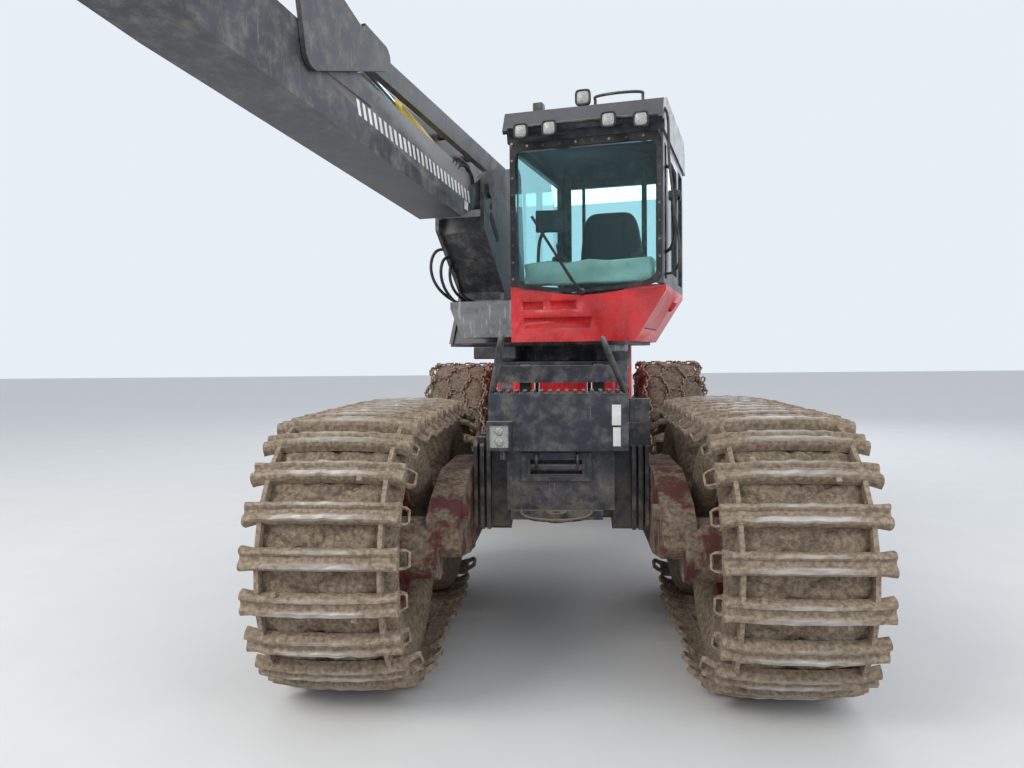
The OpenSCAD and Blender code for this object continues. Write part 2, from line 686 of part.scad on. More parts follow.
module cab_tub() difference() {
    flat(cab_bottom, sill_z - cab_bottom) cab_plan(0, 270);
    flat(cab_bottom + 60, sill_z) cab_plan(wall_t, 270);
    door_hole();
    // Windscreen dip in the front panel
    translate([mid(cab_right, cab_left), 0, sill_z + 1450]) rotate([90, 0, 0])
        translate([0, 0, cab_front - wall_t - 1]) cylinder(h = wall_t + 2, r = 1520, $fn = 160);
    // Recesses in the front panel
    fbox([-120, 40], [cab_front - 26, cab_front + 1], [2130, 2190]);
    fbox([90, 290], [cab_front - 26, cab_front + 1], [2130, 2190]);
    fbox([-110, 430], [cab_front - 30, cab_front + 1], [1990, 2070]);
}

module cab_frame() color("#12151d") slewed() {
    cab_posts();
    door_bracket(door_pin_z[1]);
}

module cab_posts() difference() {
    flat(sill_z, eave_z - sill_z) cab_plan(0, 50);
    flat(sill_z - 1, eave_z) cab_plan(wall_t, 50);
    door_hole();
    // Windscreen, right side, rear and left quarter windows
    fbox([cab_right + 40, cab_left - 50], [cab_front - 200, cab_front + 10], [sill_z - 10, eave_z - 60]);
    fbox([cab_right - 10, cab_right + 100], [-cab_rear + 110, cab_front - 90], [sill_z + 60, eave_z - 60]);
    fbox([cab_right + 100, cab_left - 150], [-cab_rear - 10, -cab_rear + 100], [sill_z + 60, eave_z - 60]);
    fbox([cab_left - 100, cab_left + 10], [door_f[1] + 60, cab_front - 90], [sill_z + 40, eave_z - 60]);
    fbox([cab_left - 100, cab_left + 10], [-cab_rear + 150, door_f[0] - 60], [sill_z + 60, eave_z - 60]);
}

module cab_glass() color("#9fd6d8", 0.4) slewed() {
    // Windscreen stands in the front opening
    fbox([cab_right + 40 + fit, cab_left - 50 - fit], [cab_front - 30, cab_front - 30 + glass_t],
        [sill_z + fit, eave_z - 60 - fit]);
    fbox([cab_right + 20, cab_right + 20 + glass_t], [-cab_rear + 110 + fit, cab_front - 90 - fit],
        [sill_z + 60 + fit, eave_z - 60 - fit]);
    fbox([cab_right + 100 + fit, cab_left - 150 - fit], [-cab_rear + 20, -cab_rear + 20 + glass_t],
        [sill_z + 60 + fit, eave_z - 60 - fit]);
    fbox([cab_left - 30, cab_left - 30 + glass_t], [door_f[1] + 60 + fit, cab_front - 90 - fit],
        [sill_z + 40 + fit, eave_z - 60 - fit]);
    fbox([cab_left - 30, cab_left - 30 + glass_t], [-cab_rear + 150 + fit, door_f[0] - 60 - fit],
        [sill_z + 60 + fit, eave_z - 60 - fit]);
}

// The roof with its visor, as one closed outline
module roof_shape(lip) side(cab_right - lip, cab_left - cab_right + 2 * lip) polygon([
    [-cab_rear - 20, eave_z], [-cab_rear - 20, eave_z + 170], [-cab_rear + 120, roof_top],
    [cab_front - 130, roof_top], [cab_front + 60, roof_top - 60], [cab_front + 130, eave_z + 60],
    [cab_front + 110, eave_z + 40], [cab_front + 20, eave_z + 90], [cab_front + 5, eave_z]]);

module cab_roof() color("#141a2c") slewed() difference() {
    roof_shape(55);
    flat(eave_z - 1, 140) cab_plan(wall_t, 50);
}

// Lamps hang under the visor: l and z of each middle
lamp_rows = [[-140, 3425], [80, 3432], [530, 3432], [790, 3425]];
module work_lamps() color("#d8dadc") slewed() {
    difference() {
        for (p = lamp_rows) fbox([p[0] - 52, p[0] + 52], [cab_front + 30, cab_front + 100], [p[1] - 90, p[1] + 40]);
        roof_shape(55);
    }
    // Tall lamp over the roof
    fbox([245, 365], [cab_front - 160, cab_front - 90], [roof_top + 20, roof_top + 120]);
    fbox([290, 320], [cab_front - 150, cab_front - 130], [roof_top, roof_top + 20]);
}

module cab_fittings() color("#0e0f12") slewed() {
    m = mid(cab_right, cab_left);
    side(m - 20, 16) link2d([cab_front + 18, 2250], [cab_front + 18, 2880], 16, 12);
    translate([m - 12, -cab_front, 2250]) rotate([90, 0, 0]) cylinder(h = 30, d = 40);
    for (l = [400, 740]) translate([l, -cab_front + 200, roof_top]) cylinder(h = 100, d = 24);
    bar_x(388, 364, -cab_front + 200, roof_top + 100, 24);
    translate([-30, -cab_front + 180, roof_top]) cylinder(h = 60, d = 80);
    translate([cab_left - 70, cab_rear - 300, roof_top]) cylinder(h = 110, d = 16);
}

module operator_seat() color("#1c1d20") slewed() {
    s = 360;
    translate([s, 60, cab_bottom + 60]) cylinder(h = 340, d = 200);
    fbox([s - 250, s + 250], [-280, 230], [2290, 2420]);
    side(s - 240, 480) polygon([[-200, 2420], [-330, 2420], [-440, 3050], [-330, 3060]]);
    side(s - 150, 300) polygon([[-345, 3055], [-430, 3055], [-450, 3250], [-370, 3250]]);
    // Armrest consoles with their levers, carried by the seat
    for (d = [-1, 1]) {
        fbox([s + d * 310 - 55, s + d * 310 + 55], [-180, 330], [2480, 2560]);
        translate([s + d * 310, -280, 2560]) cylinder(h = 130, d = 44);
        fbox([s + min(d * 200, d * 340), s + max(d * 200, d * 340)], [-120, -40], [2400, 2480]);
    }
}

module cab_door() color("#12151d") slewed() {
    difference() {
        fbox([cab_left - wall_t, cab_left], door_f, door_z);
        fbox([cab_left - 80, cab_left + 10], [door_f[0] + 55, door_f[1] - 55], [sill_z + 110, door_z[1] - 60]);
    }
    for (z = door_pin_z) door_knuckle(z);
}

module door_glass() color("#9fd6d8", 0.4) slewed()
    fbox([cab_left - 30, cab_left - 30 + glass_t], [door_f[0] + 55 + fit, door_f[1] - 55 - fit],
        [sill_z + 110 + fit, door_z[1] - 60 - fit]);

// Crane pieces stand about the crane's middle plane: half is the distance of a face from it
module crane_plate(half, t) for (s = [-1, 1]) side(-crane_off + (s > 0 ? half : -half - t), t) children();
module crane_mid(w) side(-crane_off - w / 2, w) children();
module crane_pin(w, p, d) pin_l(-crane_off - w / 2, w, p, d);
module on_boom() translate(boom_pin) rotate(boom_tilt) children();
module on_jib() translate(jib_pin) rotate(-jib_drop) children();

module crane_pillar() color("#15171e") slewed() {
    plate = 30;
    in = boom_w / 2 + gap;
    difference() {
        crane_plate(in, plate) {
            translate(boom_pin) circle(r = 150);
            translate(bar_pin) circle(r = 110);
            polygon([[-560, cab_bottom], [300, cab_bottom], [60, 2320], [560, 2790],
                boom_pin + [150, 0], boom_pin + [-20, 148], bar_pin + [20, 108], bar_pin + [-108, 10],
                [-520, 2500]]);
        }
        crane_pin(600, boom_pin, 120);
        crane_pin(600, bar_pin, 90);
    }
    // Base block between the plates
    crane_mid(2 * in) polygon([[-560, cab_bottom], [280, cab_bottom], [60, 2250], [-300, 2420], [-500, 2420]]);
    crane_pin(2 * (in + plate) + 30, boom_pin, 120);
    for (s = [-1, 1]) pin_l(-crane_off + (s > 0 ? 66 : -in - plate - 12), in + plate + 12 - 66, bar_pin, 90);
}

module base_cover() color("#8f9294") slewed()
    fbox([-700, cab_right], [330, cab_front], [1930, 2205]);

module main_boom() color("#1c1f24") slewed() {
    boom_body();
    crane_pin(364, jib_pin, 100);
}

module boom_body() difference() {
    union() {
        crane_mid(boom_w) on_boom() {
            circle(r = 140);
            polygon([[-130, -60], [-100, 98], [0, 140], [330, -60], [boom_l - 380, -60],
                [boom_l - 60, tip_v + 118], [boom_l - 60, tip_v - 118],
                [3300, -60 - boom_d], [300, -60 - boom_d], [60, -300]]);
        }
        // Ridge bars along both top edges
        crane_plate(boom_w / 2 - 30, 30) on_boom() polygon([
            [330, -62], [360, 20], [2300, 31], [3200, 31], [3300, -62]]);
        // Doubler plates round the rocker's root
        crane_mid(boom_w) on_boom() translate(rocker_base) circle(r = 90);
        crane_mid(208) on_boom() {
            translate([boom_l, tip_v]) circle(r = 125);
            polygon([[boom_l - 130, tip_v + 124], [boom_l, tip_v + 125], [boom_l, tip_v - 125], [boom_l - 130, tip_v - 124]]);
        }
    }
    crane_pin(500, boom_pin, 120 + 2 * fit);
    crane_pin(500, rocker_root, 90 + 2 * fit);
    // Narrow tip that stands between the tip link's plates
    for (s = [-1, 1]) side(-crane_off + (s > 0 ? 104 : -200), 96) on_boom()
        translate([boom_l - 330, -500]) square([600, 700]);
    // Channel between the side plates at the root for the lift cylinder and the parallel bars
    crane_mid(150 + 2 * gap) on_boom() {
        circle(r = 92 + gap);
        polygon([[-200, -60], [-200, 260], [600, 260], [600, -45], [60, -78], [-60, -90]]);
    }
    crane_mid(2 * (132 + gap)) on_boom() polygon([[-250, 45], [-250, 260], [1000, 260], [1000, 45]]);
}

module parallel_bar() color("#22252a") slewed() difference() {
    union() {
        crane_plate(82, 50) link2d(bar_pin, rocker_pin, 80, 68);
        for (t = [0.2, 0.42]) crane_mid(164) translate(bar_pin + t * (rocker_pin - bar_pin) + [0, 60])
            square([70, 36], center = true);
    }
    crane_pin(600, bar_pin, 90 + 2 * fit);
    crane_pin(600, rocker_pin, 80 + 2 * fit);
}

module rocker() color("#2a2c30") slewed() {
    in = boom_w / 2 + gap;
    difference() {
        crane_plate(in, 26) {
            link2d(rocker_pin, rocker_root, 74, 88);
            link2d(rocker_pin, stay_rear, 74, 70);
            link2d(rocker_root, stay_rear, 88, 70);
            polygon([rocker_pin, rocker_root, stay_rear]);
        }
        // Long slot in each plate
        crane_plate(in - 1, 28) link2d(rocker_pin + [250, 90], rocker_pin + [480, 170], 24, 24);
    }
    crane_pin(2 * in + 40, rocker_root, 90);
    crane_pin(2 * in + 40, stay_rear, 80);
    for (s = [-1, 1]) pin_l(-crane_off + (s > 0 ? 76 : -in), in - 76, rocker_pin, 80);
}

module front_stay() color("#22252a") slewed() crane_run(stay_rear, stay_front) {
    run = norm(stay_front - stay_rear);
    difference() {
        union() {
            translate([-60, -62, 0]) cube([120, 124, run]);
            for (z = [0, run]) translate([-60, 0, z]) rotate([0, 90, 0]) cylinder(h = 120, r = 72);
        }
        for (z = [0, run]) translate([-70, 0, z]) rotate([0, 90, 0]) cylinder(h = 140, d = 80 + 2 * fit);
    }
}

module tip_link() color("#2a2c30") slewed() {
    difference() {
        crane_plate(110, 30) link2d(jib_pin, stay_front, 110, 78);
        crane_pin(600, jib_pin, 100 + 2 * fit);
    }
    crane_pin(270, stay_front, 80);
}

// Places a cylinder between two crane points, along +Z from the first
module crane_run(a, b) translate([-crane_off, -a[0], a[1]])
    rotate([90 - atan2(b[1] - a[1], b[0] - a[0]), 0, 0]) children();

module lift_barrel() color("#d9b51e") slewed() crane_run(boom_pin, rocker_pin) {
    difference() {
        barrel_z(60, 1340, lift_d, 76);
        rotate([0, 90, 0]) cylinder(h = 200, d = 130, center = true);
    }
    eye_x(110, 184, 120 + 2 * fit);
}

module lift_rod() color("silver") slewed() crane_run(boom_pin, rocker_pin)
    translate([0, 0, norm(rocker_pin - boom_pin)]) {
        difference() {
            rod_z(norm(rocker_pin - boom_pin), 250, 76);
            rotate([0, 90, 0]) cylinder(h = 200, d = 90, center = true);
        }
        eye_x(110, 124, 80 + 2 * fit);
    }

module jib() color("#1c1f24") slewed() difference() {
    union() {
        // Fork on the boom's tip pin
        crane_plate(146, 30) on_jib() {
            circle(r = 105);
            polygon([[0, 105], [420, jib_d / 2], [420, -jib_d / 2], [0, -105]]);
        }
        crane_mid(352) on_jib() translate([300, -jib_d / 2]) square([200, jib_d]);
        crane_mid(jib_w) on_jib() translate([300, -jib_d / 2]) square([jib_l - 300, jib_d]);
        // Lugs for the jib cylinder
        crane_plate(62, 26) on_jib() polygon([[jib_lug[0] - 260, jib_d / 2 - 5], [jib_lug[0] - 60, jib_lug[1] + 50],
            [jib_lug[0] + 60, jib_lug[1] + 50], [jib_lug[0] + 220, jib_d / 2 - 5]]);
    }
    crane_pin(600, jib_pin, 100 + 2 * fit);
    crane_pin(600, jib_eye, 70);
    // Channel for the extension
    crane_mid(jib_w - 40) on_jib() translate([900, -jib_d / 2 + 20]) square([jib_l, jib_d - 40]);
}

module jib_barrel() color("#2a2c30") slewed() crane_run(stay_front, jib_eye) {
    barrel_z(140, 730, jib_cyl_d, 60);
    // Yoke on the pin, outside the stay's end
    translate([-104, -40, 84]) cube([208, 80, 60]);
    for (x = [-85, 85]) translate([x, 0, 0]) difference() {
        union() {
            rotate([0, 90, 0]) cylinder(h = 38, d = 128, center = true);
            translate([-19, -50, 0]) cube([38, 100, 90]);
        }
        rotate([0, 90, 0]) cylinder(h = 60, d = 80 + 2 * fit, center = true);
    }
}

module jib_rod() color("silver") slewed() crane_run(stay_front, jib_eye)
    translate([0, 0, norm(jib_eye - stay_front)]) {
        difference() {
            rod_z(norm(jib_eye - stay_front), 330, 60);
            rotate([0, 90, 0]) cylinder(h = 200, d = 76, center = true);
        }
        eye_x(100, 104, 70);
    }

module extension() color("#2a2c30") slewed() difference() {
    union() {
        crane_mid(jib_w - 40 - 2 * gap) on_jib() translate([1000, -jib_d / 2 + 20 + gap])
            square([hang_s - 1150, jib_d - 40 - 2 * gap]);
        // Slide pads at the inner end
        crane_mid(jib_w - 40 - 2 * fit) on_jib() translate([1000, -jib_d / 2 + 20 + fit])
            square([140, jib_d - 40 - 2 * fit]);
        crane_mid(jib_w - 40 - 2 * gap) on_jib() link2d([hang_s - 180, -10], [hang_s, -10], 85, 70);
    }
    crane_pin(400, hang_pin, 70 + 2 * fit);
    // Slot for the tip hanger
    crane_mid(72) on_jib() translate([hang_s - 90, -120]) square([220, 220]);
}

// Link under the crane's tip: a fore-and-aft pin above and a cross pin below
module crane_tip() color("#3a3d42") slewed() {
    crane_mid(60) link2d(hang_pin, hang_pin - [0, 90], 66, 28);
    fbox([-crane_off - 45, -crane_off + 45], [head_f - 30, head_f + 30], [sway_pin_z - 46, sway_pin_z + 52]);
    crane_pin(jib_w - 40 - 2 * gap, hang_pin, 70);
    translate([-crane_off, -head_f + 66, sway_pin_z]) rotate([90, 0, 0]) cylinder(h = 132, d = 60);
}

rotor_d = 130;
module rotator() color("#26282d") slewed() {
    for (f = [head_f - 62, head_f + 36]) difference() {
        fbox([-crane_off - 50, -crane_off + 50], [f, f + 26], [sway_pin_z - 90, sway_pin_z + 40]);
        translate([-crane_off, -head_f + 100, sway_pin_z]) rotate([90, 0, 0])
            cylinder(h = 200, d = 60 + 2 * fit);
    }
    translate([-crane_off, -head_f, rotor_z + 110 + gap])
        cylinder(h = sway_pin_z - 86 - rotor_z - 110 - gap, d = 236);
    translate([-crane_off, -head_f, rotor_z + 50]) cylinder(h = 80, d = rotor_d);
}

module head_yoke() color("#b3251f") slewed() {
    in = head_w / 2 + gap;
    translate([-crane_off, -head_f, rotor_z - 5]) difference() {
        cylinder(h = 115, d = 270);
        translate([0, 0, 50]) cylinder(h = 70, d = rotor_d + 2 * fit);
    }
    fbox([-crane_off - in - 40, -crane_off + in + 40], [head_f - 130, head_f + 130], [rotor_z - 50, rotor_z]);
    crane_plate(in, 40) {
        translate([head_f, yoke_pin_z]) circle(r = 70);
        polygon([[head_f - 70, yoke_pin_z], [head_f - 120, rotor_z - 20], [head_f + 120, rotor_z - 20],
            [head_f + 70, yoke_pin_z]]);
    }
    for (s = [-1, 1]) pin_l(-crane_off + (s > 0 ? in - 60 : -in), 60, [head_f, yoke_pin_z], 80);
}

module head_frame() color("#b3251f") slewed() {
    h = head_l / 2;
    top = yoke_pin_z - 160;
    difference() {
        union() {
            crane_mid(head_w) polygon([[head_f - h, top - 190], [head_f - h, top - 20], [head_f - h + 60, top],
                [head_f + h - 150, top], [head_f + h, top - 70], [head_f + h, top - 190],
                [head_f + h - 80, top - 210], [head_f - h + 80, top - 210]]);
            // Ears on the tilt pins
            crane_plate(head_w / 2 - 60, 60) {
                translate([head_f, yoke_pin_z]) circle(r = 66);
                polygon([[head_f - 66, yoke_pin_z], [head_f + 66, yoke_pin_z],
                    [head_f + 130, top - 5], [head_f - 130, top - 5]]);
            }
        }
        crane_pin(head_w + 10, [head_f, yoke_pin_z], 80 + 2 * fit);
    }
    // Ears and pins of the roller arms
    for (s = [-1, 1]) {
        for (f = [head_f - 262, head_f + 236]) translate([-crane_off, 0, 0]) handed(s)
            fbox([head_w / 2 - 10, head_w / 2 + 100], [f, f + 26], [arm_pin_z - 50, arm_pin_z + 50]);
        translate([-crane_off + s * arm_pin_l, -head_f + 262, arm_pin_z]) rotate([90, 0, 0]) cylinder(h = 524, d = 44);
    }
    // Knife pins on the front end
    for (s = [-1, 1]) translate([-crane_off + s * 120, -head_f - h, knife_pin_z]) rotate([90, 0, 0])
        cylinder(h = 96, d = 60);
    // Saw box on the rear end
    difference() {
        fbox([-crane_off - 210, -crane_off + 330], [head_f - h - 90, head_f - h], [roller_z - 120, top - 60]);
        fbox([-crane_off - 170, -crane_off + 340], [head_f - h - 60, head_f - h - 30], [roller_z - 130, top - 100]);
    }
}

// Arm and roller hang beside the stem: s is +1 on the left
module roller_arm(s) color("#2a2c30") slewed() translate([-crane_off, 0, 0]) handed(s) difference() {
    union() {
        translate([arm_pin_l, -head_f + 230, arm_pin_z]) rotate([90, 0, 0]) cylinder(h = 460, d = 84);
        facing(-head_f - 110, 220) polygon([
            [arm_pin_l - 30, arm_pin_z - 20], [arm_pin_l + 26, arm_pin_z + 30], [arm_pin_l + 215, arm_pin_z - 120],
            [arm_pin_l + 215, roller_z - 100], [arm_pin_l + 175, roller_z - 100], [arm_pin_l + 175, roller_top + gap],
            [roller_l - 60, roller_top + gap], [roller_l - 60, roller_top + gap + 40],
            [arm_pin_l - 30, roller_top + gap + 60]]);
        translate([roller_l, -head_f, roller_top - 50]) cylinder(h = 50 + gap + 5, d = 80);
    }
    translate([arm_pin_l, -head_f + 240, arm_pin_z]) rotate([90, 0, 0]) cylinder(h = 480, d = 44 + 2 * fit);
}

module feed_roller(s) color("#6b6a66") slewed() translate([-crane_off, 0, 0]) handed(s)
    translate([roller_l, -head_f, roller_top - roller_w]) difference() {
        union() {
            cylinder(h = roller_w, d = roller_d - 50);
            for (i = [0:11]) rotate([0, 0, i * 30]) translate([roller_d / 2 - 34, -14, 10])
                cube([34, 28, roller_w - 20]);
        }
        translate([0, 0, roller_w - 56]) cylinder(h = 60, d = 80 + 2 * fit);
    }

// Curved knife that reaches round the stem
module knife(s) color("#77756f") slewed() translate([-crane_off, 0, 0]) handed(s)
    facing(-head_f - head_l / 2 - (s > 0 ? 48 : 92), 38) difference() {
        union() {
            intersection() {
                translate([0, roller_z]) ring2d(310, 255);
                translate([0, roller_z]) polygon([[0, 0], [-20, 330], [400, 400], [400, -330], [-40, -400]]);
            }
            translate([120, knife_pin_z]) circle(r = 62);
        }
        translate([120, knife_pin_z]) circle(d = 60 + 2 * fit);
    }

front_frame();
step_box();
front_axle();
handrails();
bogie_case(1);  // bogie_case_left
bogie_case(-1);  // bogie_case_right
bogie_tyres(1);  // bogie_tyres_left
bogie_tyres(-1);  // bogie_tyres_right
bogie_rims(1);  // bogie_rims_left
bogie_rims(-1);  // bogie_rims_right
track(1);  // track_left
track(-1);  // track_right
rear_frame();
engine_block();
engine_hood();
rear_axle();
rear_tyre(1);  // rear_tyre_left
rear_tyre(-1);  // rear_tyre_right
rear_rim(1);  // rear_rim_left
rear_rim(-1);  // rear_rim_right
steer_barrel(1);  // steer_barrel_left
steer_rod(1);  // steer_rod_left
steer_barrel(-1);  // steer_barrel_right
steer_rod(-1);  // steer_rod_right
tilt_base();
tilt_barrels();
tilt_rods();
slew_platform();
cab_lower_body();
cab_frame();
cab_roof();
cab_glass();
work_lamps();
cab_fittings();
operator_seat();
cab_door();
door_glass();
crane_pillar();
base_cover();
main_boom();
parallel_bar();
rocker();
front_stay();
tip_link();
lift_barrel();
lift_rod();
jib();
jib_barrel();
jib_rod();
extension();
crane_tip();
rotator();
head_yoke();
head_frame();
roller_arm(1);  // roller_arm_left
roller_arm(-1);  // roller_arm_right
feed_roller(1);  // feed_roller_left
feed_roller(-1);  // feed_roller_right
knife(1);  // knife_left
knife(-1);  // knife_right
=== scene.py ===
"""Looks of the forestry harvester: worn paint, dried mud, glass, hoses and small fittings."""
import json
from math import atan2, copysign, cos, exp, pi, radians, sin, sqrt

import bmesh
import bpy
from mathutils import Euler, Matrix, Vector


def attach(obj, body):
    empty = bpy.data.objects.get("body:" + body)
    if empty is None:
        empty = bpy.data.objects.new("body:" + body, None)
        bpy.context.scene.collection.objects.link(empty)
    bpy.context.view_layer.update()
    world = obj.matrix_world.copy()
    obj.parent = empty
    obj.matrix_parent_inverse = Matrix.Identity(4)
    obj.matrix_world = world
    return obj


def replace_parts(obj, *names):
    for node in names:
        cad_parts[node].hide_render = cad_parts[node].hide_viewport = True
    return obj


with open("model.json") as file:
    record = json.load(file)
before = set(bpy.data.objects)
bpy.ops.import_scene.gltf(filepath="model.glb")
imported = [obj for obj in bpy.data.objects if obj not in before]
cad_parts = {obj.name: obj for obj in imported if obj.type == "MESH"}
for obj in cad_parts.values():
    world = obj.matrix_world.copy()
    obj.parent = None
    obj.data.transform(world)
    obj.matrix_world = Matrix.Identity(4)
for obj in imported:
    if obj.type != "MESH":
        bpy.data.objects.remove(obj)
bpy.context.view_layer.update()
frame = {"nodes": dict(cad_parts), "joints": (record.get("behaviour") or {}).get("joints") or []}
nodes = frame["nodes"]
joints = {joint["name"]: joint for joint in frame["joints"]}

# Places in metres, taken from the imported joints: the slewing axis, and the directions that turn with it
SLEW = Vector(joints["slew"]["pos_m"])
LEFT = -Vector(joints["boom_lift"]["axis"])
AHEAD = Vector(joints["tip_sway"]["axis"])
UP = Vector((0, 0, 1))
FORWARD = Vector((0, -1, 0))
BOGIE = Vector(joints["bogie_swing_left"]["pos_m"])

# Wheels and tracks
BOGIE_RISE = 0.110
WHEEL_SPAN = 1.500
TRACK_R = 0.747
TYRE_R = 0.672
TYRE_W = 0.690
RIM_R = 0.337
TRACK_W = 0.756
TRACK_X = 1.122
PATH_R = 0.684
LOOP = 2 * WHEEL_SPAN + 2 * pi * PATH_R
SHOE_COUNT = 34
SHOE_PITCH = LOOP / SHOE_COUNT
SHOE_STATIONS = 15
SHOE_BOW = 0.030
REAR_TYRE_R = 0.817
REAR_TYRE_W = 0.604
REAR_RIM_R = 0.432
TYRE_TURNS = 240
LINK_PITCH = 0.058

# The cab, measured from the slewing axis
CAB_LEFT = 0.920
CAB_RIGHT = -0.210
CAB_MIDDLE = (CAB_LEFT + CAB_RIGHT) / 2
CAB_FRONT = 0.750
SILL_Z = 2.300
EAVE_Z = 3.365

# Colours, as linear values
DRY_MUD = (0.30, 0.225, 0.155, 1)
WET_MUD = (0.105, 0.078, 0.055, 1)
DUST = (0.34, 0.31, 0.27, 1)
NAVY = (0.016, 0.020, 0.032, 1)
BLACK = (0.014, 0.015, 0.018, 1)
RED = (0.56, 0.018, 0.022, 1)
YELLOW = (0.68, 0.46, 0.03, 1)


def machine(x, y, z):
    """A place given from the slewing axis: x to the operator's left, y backward, z from the ground."""
    return Vector((SLEW.x + x, SLEW.y + y, z))


def turned(left, ahead, z):
    """A place on the parts that turn with the cab: left and ahead of the slewing axis."""
    return Vector((SLEW.x, SLEW.y, 0)) + LEFT * left + AHEAD * ahead + UP * z


class Graph:
    """A small helper that adds nodes to one tree and links them."""

    def __init__(self, tree):
        self.tree = tree

    def fill(self, node, inputs):
        for key, value in inputs.items():
            if isinstance(value, bpy.types.NodeSocket):
                self.tree.links.new(value, node.inputs[key])
            else:
                node.inputs[key].default_value = value

    def node(self, kind, inputs, output, **settings):
        """A new node with values or links in its inputs; gives one of its outputs."""
        node = self.tree.nodes.new(kind)
        for key, value in settings.items():
            setattr(node, key, value)
        self.fill(node, inputs)
        return node.outputs[output]


class Shader(Graph):
    """The nodes of one material, which follow the place on the object."""

    def __init__(self, name):
        self.material = bpy.data.materials.new(name)
        self.material.use_nodes = True
        super().__init__(self.material.node_tree)
        self.place = self.node("ShaderNodeTexCoord", {}, "Object")

    def noise(self, scale, detail=4.0, roughness=0.6, stretch=(1, 1, 1)):
        place = self.node("ShaderNodeMapping", {"Scale": stretch, "Vector": self.place}, "Vector")
        values = {"Scale": scale, "Detail": detail, "Roughness": roughness, "Vector": place}
        return self.node("ShaderNodeTexNoise", values, "Fac")

    def cells(self, scale, feature="F1"):
        values = {"Scale": scale, "Vector": self.place}
        return self.node("ShaderNodeTexVoronoi", values, "Distance", feature=feature)

    def ramp(self, value, low, high):
        values = {"Value": value, "From Min": low, "From Max": high}
        return self.node("ShaderNodeMapRange", values, "Result", interpolation_type="SMOOTHSTEP")

    def math(self, operation, a, b=0.0):
        return self.node("ShaderNodeMath", {0: a, 1: b}, 0, operation=operation)

    def times(self, a, b):
        return self.math("MULTIPLY", a, b)

    def plus(self, a, b):
        return self.math("ADD", a, b)

    def minus(self, a, b):
        return self.math("SUBTRACT", a, b)

    def blend(self, factor, a, b):
        return self.node("ShaderNodeMix", {"Factor": factor, 6: a, 7: b}, 2, data_type="RGBA")

    def coordinate(self, axis):
        return self.node("ShaderNodeSeparateXYZ", {0: self.place}, axis)

    def facing_up(self):
        normal = self.node("ShaderNodeNewGeometry", {}, "Normal")
        return self.ramp(self.node("ShaderNodeSeparateXYZ", {0: normal}, "Z"), 0.1, 0.95)

    def finish(self, colour, rough, bump=None, others=()):
        """Sets the surface; bump is a height, its distance and its strength. Gives the material."""
        values = {"Base Color": colour, "Roughness": rough, **dict(others)}
        if bump:
            heights = dict(zip(("Height", "Distance", "Strength"), bump))
            values["Normal"] = self.node("ShaderNodeBump", heights, "Normal")
        self.fill(self.tree.nodes["Principled BSDF"], values)
        return self.material


def worn_paint(name, paint, dust_share, shine, mud_below=0.0):
    """Paint with fine scratches, dust on what faces up, and mud spatter below a height."""
    s = Shader(name)
    cloud = s.ramp(s.noise(3.5, 5.0), 0.35, 0.7)
    fine = s.noise(60.0, 3.0)
    scratch = s.ramp(s.noise(90.0, 2.0, 0.5, (1.0, 1.0, 0.06)), 0.66, 0.74)
    faded = tuple(min(1.0, c * 1.5 + 0.008) for c in paint[:3]) + (1,)
    tint = s.blend(s.times(scratch, 0.35), s.blend(cloud, paint, faded), (0.30, 0.30, 0.30, 1))
    dusty = s.times(s.ramp(s.noise(9.0, 6.0, 0.7), 0.42, 0.75), dust_share)
    dusty = s.math("MAXIMUM", dusty, s.times(s.facing_up(), min(1.0, dust_share * 1.7)))
    tint = s.blend(dusty, tint, DUST)
    if mud_below > 0:
        low = s.ramp(s.coordinate("Z"), mud_below, mud_below * 0.45)
        mud = s.times(s.ramp(s.noise(7.0, 7.0, 0.75), 0.40, 0.62), low)
        tint = s.blend(mud, tint, s.blend(fine, WET_MUD, DRY_MUD))
        dusty = s.math("MAXIMUM", dusty, mud)
    rough = s.ramp(dusty, -0.9, 1.0) if shine > 0.6 else s.plus(s.times(dusty, 0.45), shine)
    return s.finish(tint, rough, (s.plus(s.times(fine, 0.25), s.times(dusty, 0.6)), 0.0015, 0.5))


def two_colours(name, lower, upper, height):
    """Clean paint of one colour below a height and another above it."""
    s = Shader(name)
    cloud = s.ramp(s.noise(4.0, 5.0), 0.35, 0.75)
    tint = s.blend(s.ramp(s.coordinate("Z"), height - 0.002, height + 0.002), lower, upper)
    rough = s.plus(s.times(cloud, 0.2), 0.28)
    return s.finish(s.blend(s.times(cloud, 0.16), tint, DUST), rough, (s.noise(60.0, 3.0), 0.001, 0.4))


def caked_mud(name, under, share, lumps):
    """Dried mud in lumps and cracks over what lies under it."""
    s = Shader(name)
    big = s.noise(5.0, 8.0, 0.7)
    small = s.noise(38.0, 6.0, 0.65)
    crack = s.ramp(s.cells(26.0, "DISTANCE_TO_EDGE"), 0.0, 0.06)
    mud = s.blend(s.ramp(small, 0.3, 0.7), WET_MUD, DRY_MUD)
    mud = s.blend(s.times(s.ramp(big, 0.55, 0.75), 0.6), mud, (0.40, 0.33, 0.25, 1))
    cover = s.ramp(big, 0.62 - share * 0.35, 0.72 - share * 0.35)
    height = s.plus(s.times(big, 0.9), s.times(small, 0.35))
    height = s.times(height, s.plus(s.times(crack, 0.2), 0.8))
    return s.finish(s.blend(cover, under, mud), s.plus(s.times(cover, 0.22), 0.72), (height, lumps, 0.9))


